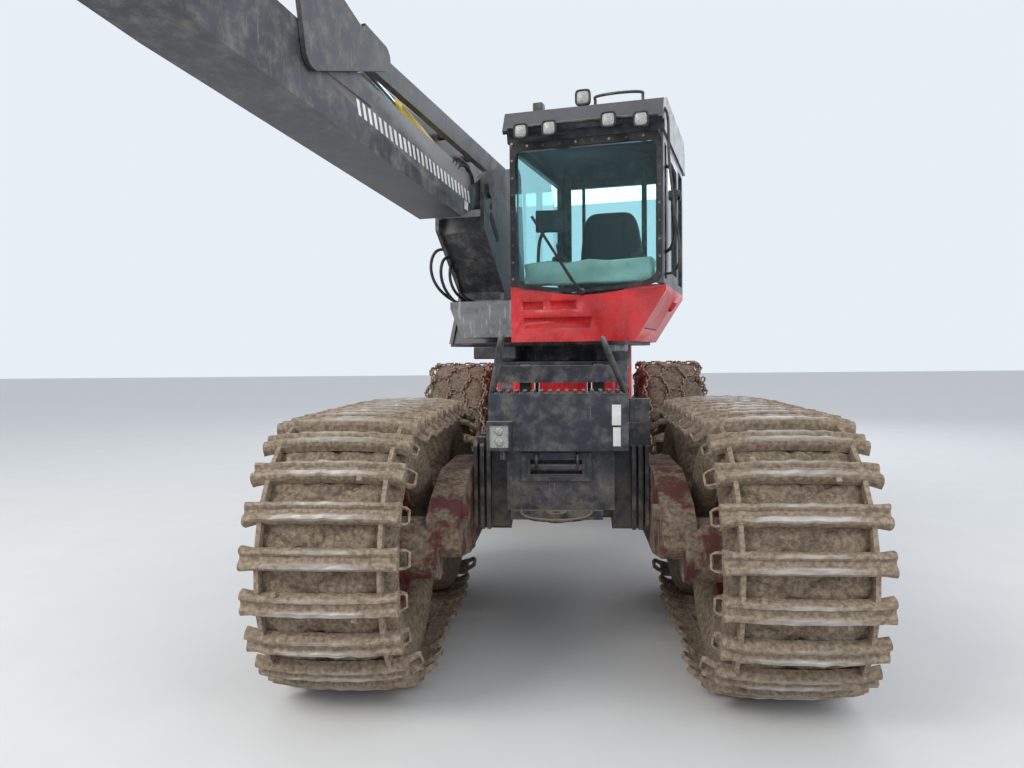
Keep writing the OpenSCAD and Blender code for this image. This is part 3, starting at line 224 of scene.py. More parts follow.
def track_steel():
    """Band track: silvery where the ridges rub on the ground, dried mud in between."""
    s = Shader("track steel")
    along = s.minus(s.coordinate("Y"), BOGIE.y)
    past = s.math("MAXIMUM", s.minus(s.math("ABSOLUTE", along), WHEEL_SPAN / 2), 0.0)
    height = s.minus(s.coordinate("Z"), BOGIE.z - BOGIE_RISE)
    from_axles = s.math("SQRT", s.plus(s.times(past, past), s.times(height, height)))
    big = s.noise(6.0, 7.0, 0.7)
    small = s.noise(45.0, 6.0, 0.6)
    scrape = s.noise(30.0, 3.0, 0.6, (0.12, 1.0, 1.0))
    mud = s.blend(s.ramp(small, 0.3, 0.72), (0.155, 0.115, 0.08, 1), (0.36, 0.28, 0.20, 1))
    steel = s.blend(s.ramp(scrape, 0.35, 0.7), (0.33, 0.30, 0.27, 1), (0.56, 0.53, 0.49, 1))
    top = s.ramp(from_axles, TRACK_R - 0.022, TRACK_R - 0.004)
    worn = s.times(top, s.ramp(big, 0.25, 0.5))
    bump = (s.plus(s.times(big, 0.6), s.times(small, 0.5)), 0.006, 0.8)
    metal = {"Metallic": s.times(worn, 0.45)}
    return s.finish(s.blend(worn, mud, steel), s.minus(0.86, s.times(worn, 0.38)), bump, metal)


def rusty_chain():
    s = Shader("rusty chain")
    small = s.noise(55.0, 5.0, 0.65)
    tint = s.blend(s.ramp(small, 0.35, 0.65), (0.16, 0.075, 0.045, 1), (0.42, 0.33, 0.26, 1))
    return s.finish(tint, 0.75, (small, 0.002, 0.6), {"Metallic": 0.25})


def bare_steel(name, tint, shine):
    """Handled steel with rubbed paint left in patches."""
    s = Shader(name)
    patch = s.ramp(s.noise(14.0, 5.0, 0.7), 0.45, 0.55)
    streak = s.noise(70.0, 3.0, 0.6, (1.0, 1.0, 0.1))
    darker = tuple(c * 0.6 for c in tint[:3]) + (1,)
    tint = s.blend(patch, s.blend(streak, tint, darker), (0.06, 0.06, 0.065, 1))
    metal = {"Metallic": s.minus(0.8, s.times(patch, 0.7))}
    return s.finish(tint, s.plus(s.times(streak, 0.25), shine), (streak, 0.0006, 0.4), metal)


def polished_rod():
    s = Shader("polished rod")
    rough = s.plus(s.times(s.noise(60.0, 3.0), 0.15), 0.08)
    return s.finish((0.72, 0.72, 0.74, 1), rough, None, {"Metallic": 1.0})


def tinted_glass():
    s = Shader("tinted glass")
    smear = s.ramp(s.noise(5.0, 6.0, 0.7), 0.45, 0.8)
    tint = s.blend(smear, (0.66, 0.93, 0.96, 1), (0.72, 0.93, 0.94, 1))
    return s.finish(tint, s.times(smear, 0.05), None, {"Transmission Weight": 0.98, "IOR": 1.16})


def lamp_glass():
    s = Shader("lamp glass")
    ribs = s.cells(110.0)
    tint = s.blend(s.ramp(ribs, 0.1, 0.6), (0.50, 0.50, 0.46, 1), (0.30, 0.31, 0.29, 1))
    return s.finish(tint, 0.22, (ribs, 0.002, 0.5))


def black_rubber():
    s = Shader("black rubber")
    tint = s.blend(s.ramp(s.noise(12.0, 5.0), 0.4, 0.8), (0.012, 0.012, 0.013, 1), (0.06, 0.055, 0.05, 1))
    return s.finish(tint, 0.62, (s.noise(160.0, 2.0), 0.0006, 0.4))


def woven_seat():
    s = Shader("woven seat")
    threads = {"Scale": 120.0, "Vector": s.place}
    warp, weft = [s.node("ShaderNodeTexWave", threads, "Fac", wave_type="BANDS", bands_direction=way)
        for way in "XZ"]
    weave = s.times(warp, weft)
    tint = s.blend(weave, (0.010, 0.010, 0.012, 1), (0.045, 0.045, 0.05, 1))
    return s.finish(tint, 0.9, (weave, 0.001, 0.5), {"Sheen Weight": 0.3})


def grey_cover():
    """Bare grey sheet with dents, scrapes and grime."""
    s = Shader("dented sheet")
    dent = s.noise(4.5, 3.0, 0.5)
    scrape = s.ramp(s.noise(50.0, 3.0, 0.5, (1.0, 1.0, 0.15)), 0.58, 0.66)
    grime = s.ramp(s.noise(11.0, 6.0, 0.7), 0.5, 0.75)
    tint = s.blend(s.times(scrape, 0.5), (0.17, 0.175, 0.18, 1), (0.42, 0.42, 0.42, 1))
    tint = s.blend(s.times(grime, 0.6), tint, (0.06, 0.055, 0.05, 1))
    bump = (s.plus(dent, s.times(scrape, 0.03)), 0.03, 0.7)
    return s.finish(tint, s.plus(s.times(grime, 0.3), 0.45), bump, {"Metallic": 0.25})


navy_paint = worn_paint("navy paint", NAVY, 0.30, 0.34)
crane_paint = worn_paint("crane paint", (0.030, 0.033, 0.040, 1), 0.50, 0.42)
black_paint = worn_paint("black paint", BLACK, 0.34, 0.45, 1.35)
step_paint = worn_paint("step paint", (0.015, 0.018, 0.028, 1), 0.40, 0.5, 1.25)
red_paint = worn_paint("red paint", RED, 0.14, 0.26)
dull_red = worn_paint("dull red paint", (0.28, 0.03, 0.028, 1), 0.3, 0.5, 1.2)
yellow_paint = worn_paint("yellow paint", YELLOW, 0.3, 0.4)
engine_paint = worn_paint("engine paint", (0.10, 0.10, 0.105, 1), 0.3, 0.6)
muddy_case = caked_mud("muddy case", (0.10, 0.028, 0.022, 1), 0.55, 0.006)
muddy_tyre = caked_mud("muddy tyre", (0.045, 0.04, 0.036, 1), 0.95, 0.018)
muddy_rim = caked_mud("muddy rim", (0.22, 0.03, 0.025, 1), 0.45, 0.006)
track_finish = track_steel()
rail_finish = bare_steel("rail steel", (0.36, 0.36, 0.36, 1), 0.42)
roller_finish = bare_steel("roller steel", (0.33, 0.31, 0.29, 1), 0.5)
rod_finish = polished_rod()
cover_finish = grey_cover()
white_paint = worn_paint("white paint", (0.70, 0.70, 0.68, 1), 0.25, 0.45)
pale_cover = worn_paint("pale cover", (0.40, 0.45, 0.38, 1), 0.10, 0.75)
door_paint = two_colours("door paint", RED, NAVY, SILL_Z)

# A piece's look: its material, and the record's slot for it
BLACK_PART = (black_paint, "black_frame")
STEP_PART = (step_paint, "black_frame")
CRANE_PART = (crane_paint, "navy_paint")
RUBBER_PART = (black_rubber(), "black_frame")
GLASS_PART = (tinted_glass(), "glass")
LAMP_PART = (lamp_glass(), "lamp")
SEAT_PART = (woven_seat(), "seat_fabric")
CHAIN_PART = (rusty_chain(), "chain_tyre")

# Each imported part's material, by its name without left or right
FINISHES = {family: finish for finish, families in (
    (black_paint, ["front_frame", "front_axle", "handrails", "rear_frame", "rear_axle", "tilt_base",
        "work_lamps", "cab_fittings", "crane_tip", "rotator", "roller_arm"]),
    (crane_paint, ["crane_pillar", "main_boom", "parallel_bar", "rocker", "front_stay", "tip_link", "jib",
        "jib_barrel", "extension"]),
    (red_paint, ["engine_hood", "cab_lower_body", "head_yoke", "head_frame"]),
    (navy_paint, ["cab_frame", "cab_roof", "cab_door"]),
    (rod_finish, ["steer_rod", "tilt_rods", "lift_rod", "jib_rod"]),
    (yellow_paint, ["steer_barrel", "tilt_barrels", "lift_barrel"]),
    (muddy_tyre, ["bogie_tyres", "rear_tyre"]),
    (step_paint, ["step_box", "slew_platform"]),
    (roller_finish, ["feed_roller", "knife"]),
    (GLASS_PART[0], ["cab_glass", "door_glass"]),
    (SEAT_PART[0], ["operator_seat"]),
    (muddy_case, ["bogie_case"]),
    (muddy_rim, ["bogie_rims"]),
    (track_finish, ["track"]),
    (engine_paint, ["engine_block"]),
    (dull_red, ["rear_rim"]),
    (cover_finish, ["base_cover"])) for family in families}


def dress_nodes():
    for name, piece in nodes.items():
        family = name.removesuffix("_left").removesuffix("_right")
        piece.data.materials.clear()
        piece.data.materials.append(FINISHES[family])


def placed(name, data):
    """A new object in the scene."""
    item = bpy.data.objects.new(name, data)
    bpy.context.scene.collection.objects.link(item)
    return item


def new_piece(name, mesh, look, body="upper"):
    """A finished mesh becomes a piece that rides on a body."""
    material, slot = look
    mesh.name = name
    mesh.materials.clear()
    mesh.materials.append(material)
    piece = placed(name, mesh)
    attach(piece, body)
    return piece


def smoothed(mesh):
    mesh.polygons.foreach_set("use_smooth", [True] * len(mesh.polygons))
    return mesh


def from_bmesh(work, smooth=False):
    mesh = bpy.data.meshes.new("work")
    bmesh.ops.recalc_face_normals(work, faces=work.faces)
    work.to_mesh(mesh)
    work.free()
    return smoothed(mesh) if smooth else mesh


def add_skin(work, rings, closed=False):
    """Faces between rings of places, which close into a loop or are capped at both ends."""
    rings = [[work.verts.new(place) for place in ring] for ring in rings]
    for a, b in zip(rings, rings[1:] + rings[:1] if closed else rings[1:]):
        for i in range(len(a)):
            j = (i + 1) % len(a)
            work.faces.new((a[i], a[j], b[j], b[i]))
    if not closed:
        work.faces.new(rings[0][::-1])
        work.faces.new(rings[-1])


def skin(rings, smooth=False, closed=False):
    work = bmesh.new()
    add_skin(work, rings, closed)
    return from_bmesh(work, smooth)


def plain_mesh(carrier):
    """The mesh that an object shows with its modifiers and settings; the object itself goes."""
    bpy.context.view_layer.update()
    mesh = bpy.data.meshes.new_from_object(carrier.evaluated_get(bpy.context.evaluated_depsgraph_get()))
    bpy.data.objects.remove(carrier)
    return mesh


def joined(meshes):
    """Several meshes as one."""
    work = bmesh.new()
    for mesh in meshes:
        work.from_mesh(mesh)
    result = bpy.data.meshes.new("joined")
    work.to_mesh(result)
    work.free()
    return result


def spread_tree():
    """Geometry Nodes: an item on each point, turned as the point says and made a little smaller by chance."""
    tree = bpy.data.node_groups.new("spread items", "GeometryNodeTree")
    for label, kind in (("Geometry", "Geometry"), ("Item", "Object"), ("Size spread", "Float"),
            ("Seed", "Int"), ("Finish", "Material")):
        tree.interface.new_socket(label, in_out="INPUT", socket_type="NodeSocket" + kind)
    tree.interface.new_socket("Geometry", in_out="OUTPUT", socket_type="NodeSocketGeometry")
    graph = Graph(tree)
    source = tree.nodes.new("NodeGroupInput").outputs
    item = graph.node("GeometryNodeObjectInfo", {"Object": source["Item"]}, "Geometry")
    turn = graph.node("GeometryNodeInputNamedAttribute", {"Name": "turn"}, "Attribute",
        data_type="FLOAT_VECTOR")
    low = graph.node("ShaderNodeMath", {0: 1.0, 1: source["Size spread"]}, 0, operation="SUBTRACT")
    chance = {2: low, 3: 1.0, "Seed": source["Seed"]}
    size = graph.node("FunctionNodeRandomValue", chance, 1, data_type="FLOAT")
    copying = {"Points": source["Geometry"], "Instance": item, "Rotation": turn, "Scale": size}
    copies = graph.node("GeometryNodeInstanceOnPoints", copying, "Instances")
    solid = graph.node("GeometryNodeRealizeInstances", {"Geometry": copies}, "Geometry")
    dressing = {"Geometry": solid, "Material": source["Finish"]}
    dressed = graph.node("GeometryNodeSetMaterial", dressing, "Geometry")
    graph.fill(tree.nodes.new("NodeGroupOutput"), {"Geometry": dressed})
    return tree


SPREAD = spread_tree()


def spread(item_mesh, places, material, size_spread=0.0, seed=7):
    """Copies of a mesh at 4x4 places, as one plain mesh."""
    item = placed("item", item_mesh)
    mesh = bpy.data.meshes.new("places")
    mesh.from_pydata([place.to_translation() for place in places], [], [])
    turns = mesh.attributes.new("turn", "FLOAT_VECTOR", "POINT")
    turns.data.foreach_set("vector", [value for place in places for value in place.to_euler("XYZ")])
    carrier = placed("places", mesh)
    modifier = carrier.modifiers.new("spread", "NODES")
    modifier.node_group = SPREAD
    settings = {"Item": item, "Size spread": size_spread, "Seed": seed, "Finish": material}
    for entry in SPREAD.interface.items_tree:
        if entry.in_out == "INPUT" and entry.name in settings:
            modifier[entry.identifier] = settings[entry.name]
    result = plain_mesh(carrier)
    bpy.data.objects.remove(item)
    return result


def bolts(name, places, facing, radius, height, look, body="upper"):
    """Hexagon heads that all face one way."""
    head = skin([[(radius * cos(k * pi / 3), radius * sin(k * pi / 3), z) for k in range(6)]
        for z in (-height / 2, height / 2)])
    turn = UP.rotation_difference(facing).to_matrix().to_4x4()
    places = [Matrix.Translation(place) @ turn for place in places]
    new_piece(name, spread(head, places, look[0]), look, body)


def moved(mesh, matrix):
    mesh.transform(matrix)
    return mesh


def rounded_block(size, bevel):
    work = bmesh.new()
    bmesh.ops.create_cube(work, size=1.0)
    bmesh.ops.scale(work, vec=size, verts=work.verts)
    bmesh.ops.bevel(work, geom=work.edges[:], offset=bevel, segments=3, profile=0.6, affect="EDGES")
    return work


def track_place(length):
    """Where a shoe sits at a length along the loop, which starts over the front wheel and runs back.

    Local X lies across the track, Y along it and Z outward.
    """
    half_turns, at = divmod(length % LOOP, LOOP / 2)
    along = min(at, WHEEL_SPAN) - WHEEL_SPAN / 2
    angle = -max(0.0, at - WHEEL_SPAN) / PATH_R
    return (Matrix.Rotation(-pi * half_turns, 4, "X") @ Matrix.Translation((0, along, 0))
        @ Matrix.Rotation(angle, 4, "X") @ Matrix.Translation((0, 0, TYRE_R)))


def shoe_mesh(seed):
    """One full-width bar with two worn ridges, bowed outward in its middle."""
    section = [(-52, 2), (-53, 36), (-49, 56), (-40, 68), (-22, 69), (-12, 60), (-5, 47), (12, 45), (20, 55),
        (28, 63), (41, 62), (49, 50), (53, 30), (52, 2)]
    rings = []
    for step in range(SHOE_STATIONS + 1):
        share = -1 + 2 * step / SHOE_STATIONS
        drop = SHOE_BOW * abs(share) ** 2.4
        wave = 0.0022 * sin(seed * 2.3 + step * 1.9) + 0.0014 * sin(seed * 5.1 + step * 4.3)
        thick = 1.14 if abs(share) > 0.9 else 1.0
        ring = []
        for t, z in section:
            worn = 0.003 * sin(seed * 3.7 + step * 2.7 + t) if z > 60 else 0.0
            ring.append((share * TRACK_W / 2, t * 0.001 * thick + wave, z * 0.001 - drop + worn))
        rings.append(ring)
    return skin(rings)


def strap_loop(points, thickness, width, across):
    """A flat bar bent through points: width is measured along the across direction."""
    rings = []
    for i, point in enumerate(points):
        before = points[max(0, i - 1)]
        after = points[min(len(points) - 1, i + 1)]
        out = (Vector(after) - Vector(before)).normalized().cross(across).normalized()
        rings.append([Vector(point) + out * (a * thickness / 2) + across * (b * width / 2)
            for a, b in ((-1, -1), (1, -1), (1, 1), (-1, 1))])
    return skin(rings)


def guide_mesh(side):
    """Bent flat bar beside the tyre: a rounded square loop at the end of a shoe."""
    reach = side * 0.078
    tall = 0.045
    x = side * (TRACK_W / 2 - 0.012)
    points = [(x, -tall, 0.0), (x + reach * 0.75, -tall, -0.040), (x + reach, -tall * 0.75, -0.052),
        (x + reach, tall * 0.75, -0.052), (x + reach * 0.75, tall, -0.040), (x, tall, 0.0)]
    return strap_loop(points, 0.012, 0.030, Vector((0.45 * side, 0, 0.9)).normalized())


def link_mesh(side):
    """Side link between two shoes: an upright plate with rounded ends."""
    rounding = 0.030
    reach = SHOE_PITCH / 2 + 0.018 - rounding
    outline = []
    for end in (-1, 1):
        for step in range(5):
            angle = radians(45 * step - 90 * end)
            outline.append((end * reach + rounding * cos(angle), 0.8 * rounding * sin(angle) + 0.002))
    x = side * (TRACK_W / 2 - 0.085)
    return skin([[(edge, a, b) for a, b in outline] for edge in (x - 0.011, x + 0.011)])


def bogie_place(way, along):
    """A place at the height of a bogie's axles, along from the bogie's pivot."""
    return Vector((SLEW.x + way * TRACK_X, BOGIE.y + along, BOGIE.z - BOGIE_RISE))


def make_track(side, way):
    """The band track of one bogie, shaped along the loop of its two tyres."""
    hub = Matrix.Translation(bogie_place(way, 0))
    places = [hub @ track_place((i + 0.5) * SHOE_PITCH) for i in range(SHOE_COUNT)]
    between = [hub @ track_place(i * SHOE_PITCH) for i in range(SHOE_COUNT)]
    parts = [spread(shoe_mesh(kind), places[kind::4], track_finish) for kind in range(4)]
    parts.append(spread(guide_mesh(-way), places, track_finish, 0.10, 3))
    parts += [spread(link_mesh(edge), between, track_finish) for edge in (-1, 1)]
    studs = []
    for i in range(1, SHOE_COUNT, 3):
        offset = 0.22 * sin(i * 2.1)
        studs.append(places[i] @ Matrix.Translation((offset, -0.052, 0.044)))
        studs.append(places[i] @ Matrix.Translation((-offset * 1.2, 0.052, 0.040)))
    stud = from_bmesh(rounded_block((0.030, 0.044, 0.020), 0.004))
    parts.append(spread(stud, studs, track_finish, 0.2, 11))
    piece = new_piece("band_track_" + side, joined(parts), (track_finish, "track_steel"), "bogie_" + side)
    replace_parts(piece, "track_" + side)


def tyre_mesh(hub, radius, half_width, rim_radius, lugs, depth, seed):
    """A tyre of revolution whose tread carries angled lugs, half buried in mud."""
    profile = [(rim_radius, 0.70), (rim_radius + 0.02, 0.86), ((radius + rim_radius) / 2, 1.0),
        (radius - 0.105, 0.985), (radius - 0.055, 0.93), (radius - 0.022, 0.86), (radius - 0.008, 0.74)]
    profile += [(radius, share) for share in (0.62, 0.50, 0.40, 0.30, 0.20, 0.10, 0.04)]
    ring = [(r, -share) for r, share in profile] + [(r, share) for r, share in reversed(profile)]
    rings = []
    for step in range(TYRE_TURNS):
        angle = 2 * pi * step / TYRE_TURNS
        places = []
        for r, across in ring:
            distance = r
            if r > radius - 0.07:
                phase = angle * lugs / (2 * pi) + abs(across) * 0.9 + (0.5 if across > 0 else 0.0)
                groove = max(0.0, 1 - abs(phase - round(phase)) / 0.11)
                spine = max(0.0, 1 - abs(across - 0.07 * sin(angle * lugs)) / 0.05)
                distance -= depth * min(1.0, max(groove, spine * 0.8))
            if r > rim_radius + 0.03:
                distance += 0.004 * sin(angle * 37 + across * 9 + seed) * sin(angle * 11 + across * 17)
                distance += 0.003 * sin(angle * 83 + across * 31 + seed * 2)
            places.append(hub + Vector((across * half_width, distance * cos(angle), distance * sin(angle))))
        rings.append(places)
    return skin(rings, True, True)


def make_bogie_tyres(side, way):
    parts = [tyre_mesh(bogie_place(way, end * WHEEL_SPAN / 2), TYRE_R - 0.003, TYRE_W / 2, RIM_R, 21, 0.030,
        seed) for seed, end in enumerate((-1, 1))]
    piece = new_piece("muddy_tyres_" + side, joined(parts), (muddy_tyre, "muddy_tyre"), "bogie_" + side)
    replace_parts(piece, "bogie_tyres_" + side)


def chain_link_mesh(length, wire):
    """One oval chain link, long along X and flat in XY."""
    rings = []
    for x, y in ((1.0, 0.0), (0.62, 0.95), (-0.62, 0.95), (-1.0, 0.0), (-0.62, -0.95), (0.62, -0.95)):
        out = Vector((x * 0.6, y, 0)).normalized()
        centre = Vector((x * length / 2, y * length * 0.27, 0))
        rings.append([centre + out * (a * wire) + UP * (b * wire)
            for a, b in ((1, 0), (0, 1), (-1, 0), (0, -1))])
    return skin(rings, True, True)


def hexagon_edges(around, rows, cell):
    """Edges of a net of hexagons on a strip, as pairs of (turn share, across) places."""
    edges = set()
    for row in range(rows):
        for column in range(around):
            shift = 0.5 if row % 2 else 0.0
            corners = []
            for corner in range(6):
                angle = radians(60 * corner + 30)
                corners.append((round(((column + shift) + cos(angle) / sqrt(3)) % around, 3),
                    round((row - (rows - 1) / 2) * cell * 0.866 + sin(angle) * cell / sqrt(3), 4)))
            for a, b in zip(corners, corners[1:] + corners[:1]):
                edges.add((min(a, b), max(a, b)))
    return sorted(edges)


def make_rear_tyre(side):
    """Rear tyre with its net of chain, and side chains down both walls."""
    hub = Vector(joints["wheel_" + side]["pos_m"])
    tyre = tyre_mesh(hub, REAR_TYRE_R, REAR_TYRE_W / 2, REAR_RIM_R, 25, 0.022, 5)
    around = 13
    rows = 3
    radius = REAR_TYRE_R + 0.008
    cell = 2 * pi * radius / around * 0.55
    places = []

    def on_wheel(turn, across, down=0.0):
        angle = 2 * pi * turn / around
        return hub + Vector((across, (radius - down) * cos(angle), (radius - down) * sin(angle)))

    def string_of_links(start, end, flip):
        way = end - start
        count = max(1, round(way.length / LINK_PITCH))
        out = ((start + end) / 2 - Vector((start.x, hub.y, hub.z))).normalized()
        x_axis = way.normalized()
        y_axis = out.cross(x_axis).normalized()
        basis = Matrix((x_axis, y_axis, x_axis.cross(y_axis))).transposed().to_4x4()
        for i in range(count):
            twist = Matrix.Rotation(radians(90 if (i + flip) % 2 else 25), 4, "X")
            places.append(Matrix.Translation(start + way * ((i + 0.5) / count)) @ basis @ twist)

    for (turn_a, across_a), (turn_b, across_b) in hexagon_edges(around, rows, cell):
        if turn_b - turn_a > around / 2:
            turn_a += around
        string_of_links(on_wheel(turn_a, across_a), on_wheel(turn_b, across_b), 0)
    edge = (rows - 1) / 2 * cell * 0.866 + cell / sqrt(3)
    for wall in (-1, 1):
        foot = wall * (REAR_TYRE_W / 2 + 0.012)
        for column in range(around):
            turn = column + (0.5 if wall > 0 else 0.0)
            low = on_wheel(turn, foot, 0.20)
            string_of_links(on_wheel(turn, wall * edge), low, 1)
            string_of_links(low, on_wheel(turn + 1, foot, 0.20), 0)
    net = spread(chain_link_mesh(LINK_PITCH * 1.28, 0.0105), places, CHAIN_PART[0], 0.08, 5)
    rubber = new_piece("chained_tyre_" + side, tyre, (muddy_tyre, "chain_tyre"), "rear_wheel_" + side)
    new_piece("tyre_chain_" + side, net, CHAIN_PART, "rear_wheel_" + side)
    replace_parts(rubber, "rear_tyre_" + side)


# The boom's own plane: along it, square to it, and to the left
BOOM_PIN = Vector(joints["boom_lift"]["pos_m"])
BOOM_TILT = radians(5.8)
ALONG_BOOM = AHEAD * cos(BOOM_TILT) + UP * sin(BOOM_TILT)
OVER_BOOM = UP * cos(BOOM_TILT) - AHEAD * sin(BOOM_TILT)
BOOM_HALF = 0.170


def boom_place(along, over, left):
    return BOOM_PIN + ALONG_BOOM * along + OVER_BOOM * over + LEFT * left


# How the places of small pieces on each body are given
PLACES = {"upper": turned, "main_boom": boom_place, "front_frame": machine}


def from_front(left, height, ahead):
    """A place on the parts that turn, for outlines seen from in front."""
    return turned(left, ahead, height)


def from_side(ahead, height, left):
    """A place on the parts that turn, for outlines seen from the left."""
    return turned(left, ahead, height)


def on_plate(y):
    """Places for outlines on an upright front plate that stands at y."""
    def place(x, z, out):
        return machine(x, y - out, z)
    return place


def facing_matrix(place, normal=UP, left=LEFT):
    """Local Z along the normal and X along left."""
    basis = Matrix((left, normal.cross(left), normal)).transposed().to_4x4()
    return Matrix.Translation(place) @ basis


def body_matrix(place, tip=0.0, axis="X", body="upper"):
    """Local axes at a place, tipped by some degrees; they point left, back and up on what turns."""
    place = PLACES[body](*place)
    matrix = facing_matrix(place) if body == "upper" else Matrix.Translation(place)
    return matrix @ Matrix.Rotation(radians(tip), 4, axis)


def block_piece(name, place, size, bevel, look=BLACK_PART, tip=0.0, axis="X", body="upper"):
    """A block with rounded edges, tipped by some degrees about a local axis."""
    mesh = moved(from_bmesh(rounded_block(size, bevel)), body_matrix(place, tip, axis, body))
    new_piece(name, mesh, look, body)


def smooth_path(body, knots, per=8):
    """Points of a smooth line through a body's knots, close together."""
    knots = [PLACES[body](*knot) for knot in knots]
    ends = [knots[0] * 2 - knots[1]] + knots + [knots[-1] * 2 - knots[-2]]
    path = []
    for i in range(1, len(ends) - 2):
        a, b, c, d = ends[i - 1:i + 3]
        for step in range(per):
            t = step / per
            path.append(0.5 * (b * 2 + (c - a) * t + (a * 2 - b * 5 + c * 4 - d) * t * t
                + (b * 3 - a - c * 3 + d) * t * t * t))
    return path + [knots[-1]]


def sweep_mesh(path, radius, sides=10):
    """A round tube along a path, its ends closed."""
    rings = []
    side = None
    for i, point in enumerate(path):
        way = (path[min(i + 1, len(path) - 1)] - path[max(i - 1, 0)]).normalized()
        if side is None:
            side = way.orthogonal()
        side = (side - way * side.dot(way)).normalized()
        up = way.cross(side)
        angles = [2 * pi * k / sides for k in range(sides)]
        rings.append([point + (side * cos(a) + up * sin(a)) * radius for a in angles])
    return skin(rings, True)


def hose(name, knots, radius, body="upper", easing=45):
    """A free rubber hose, fixed at both ends; rounds of easing keep it from bending too tightly."""
    path = smooth_path(body, knots, 6)
    for _ in range(easing):
        path[1:-1] = [(a + b * 2 + c) / 4 for a, b, c in zip(path, path[1:], path[2:])]
    length = sum((b - a).length for a, b in zip(path, path[1:]))
    piece = new_piece(name, sweep_mesh(path, radius), RUBBER_PART, body)
    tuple(path[0])


def bar(name, knots, radius, look=BLACK_PART, body="upper"):
    """A bent round bar or pipe that stays rigid."""
    new_piece(name, sweep_mesh(smooth_path(body, knots), radius), look, body)


def rectangle(left, bottom, right, top):
    return [(left, bottom), (right, bottom), (right, top), (left, top)]


def prisms(outlines, place, low, high):
    """Flat shapes from outlines in a plane: place(a, b, depth) gives each corner's place."""
    work = bmesh.new()
    for outline in outlines:
        add_skin(work, [[place(a, b, depth) for a, b in outline] for depth in (low, high)])
    return from_bmesh(work)


def framed(outer, inner, place, low, high):
    """A flat frame between two closed outlines with the same number of corners."""
    edges = ((outer, low), (outer, high), (inner, high), (inner, low))
    return skin([[place(a, b, depth) for a, b in outline] for outline, depth in edges], False, True)


def turned_disc(profile, sides, corner=2.0):
    """A solid about Z from (radius, height) points; a corner above 2 makes it square with round corners."""
    around = []
    for k in range(sides):
        x, y = cos(2 * pi * k / sides), sin(2 * pi * k / sides)
        reach = (abs(x) ** corner + abs(y) ** corner) ** (-1 / corner)
        around.append((x * reach, y * reach))
    return skin([[(r * x, r * y, z) for x, y in around] for r, z in profile], True)


def disc_piece(name, matrix, profile, look, sides=24, body="upper"):
    new_piece(name, moved(turned_disc(profile, sides), matrix), look, body)


def reshaped(name, node, look, body, cuts, move):
    """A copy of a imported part, cut by planes and bent, that stands for the part."""
    work = bmesh.new()
    work.from_mesh(nodes[node].data)
    bmesh.ops.remove_doubles(work, verts=work.verts, dist=1e-5)
    for place, normal in cuts:
        everything = work.verts[:] + work.edges[:] + work.faces[:]
        bmesh.ops.bisect_plane(work, geom=everything, plane_co=place, plane_no=normal, dist=1e-5)
    for vert in work.verts:
        move(vert)
    mesh = bpy.data.meshes.new(name)
    work.to_mesh(mesh)
    work.free()
    smoothed(mesh).set_sharp_from_angle(angle=radians(32))
    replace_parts(new_piece(name, mesh, look, body), node)


def boom_bottom(along):
    """Height of the boom's underside near its root, where it rises to the pin."""
    round_pin = -sqrt(max(0.0, 0.14 ** 2 - along ** 2))
    corners = ((-0.13, -0.06), (0.11, -0.11), (0.33, -0.25), (0.50, -0.34))
    line = next(low + (high - low) * (along - a) / (b - a)
        for (a, low), (b, high) in zip(corners, corners[1:]) if along <= b)
    return min(round_pin, line)


def raise_root(vert):
    from_pin = vert.co - BOOM_PIN
    along, over = from_pin.dot(ALONG_BOOM), from_pin.dot(OVER_BOOM)
    if -0.13 < along < 0.499:
        vert.co += OVER_BOOM * max(0.0, boom_bottom(along) - over)


# The cab's left wall leans inward below this height, by this much at the cab's bottom
SLANT_Z = 2.262
SLANT_IN = 0.235
SLANT_FROM = 0.30
CAB_BOTTOM = 1.890

# The cover's outer side leans inward below this height, by this much a metre
COVER_Z = 2.15
COVER_LEAN = 0.42


def to_left(vert):
    """Distance to the left of the slewing axis."""
    return (vert.co - SLEW).dot(LEFT)


def lean_in(vert):
    share = min(1.0, max(0.0, (to_left(vert) - SLANT_FROM) / (CAB_LEFT - SLANT_FROM)))
    drop = max(0.0, SLANT_Z - vert.co.z) / (SLANT_Z - CAB_BOTTOM)
    vert.co -= LEFT * (SLANT_IN * share * drop)


def hold_between(low, high):
    """A move that keeps a part between two distances to the left of the slewing axis."""
    def move(vert):
        left = to_left(vert)
        vert.co += LEFT * (min(high, max(low, left)) - left)
    return move


def lean_cover(vert):
    if to_left(vert) < -0.45:
        vert.co += LEFT * (COVER_LEAN * max(0.0, COVER_Z - vert.co.z))


def make_reshaped():
    """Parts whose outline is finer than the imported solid, from the boom's root to the leaning cab wall."""
    level = [(turned(0, 0, SLANT_Z), UP)]
    cover_level = [(turned(0, 0, COVER_Z), UP)]
    bends = (-0.10, -0.05, 0.0, 0.05, 0.09, 0.11, 0.33, 0.4985)
    root = [(boom_place(along, 0, 0), ALONG_BOOM) for along in bends]
    reshaped("boom_beam", "main_boom", CRANE_PART, "main_boom", root, raise_root)
    reshaped("cab_tub", "cab_lower_body", (red_paint, "red_paint"), "upper", level, lean_in)
    reshaped("door_leaf", "cab_door", (door_paint, "navy_paint"), "cab_door", level, lean_in)
    reshaped("door_pane", "door_glass", GLASS_PART, "cab_door", level, lean_in)
    reshaped("roof_shell", "cab_roof", (navy_paint, "navy_paint"), "upper", [], hold_between(-0.224, 0.934))
    reshaped("platform", "slew_platform", STEP_PART, "upper", [], hold_between(-0.80, 0.64))
    reshaped("cover_box", "base_cover", (cover_finish, "grey_sheet"), "upper", cover_level, lean_cover)


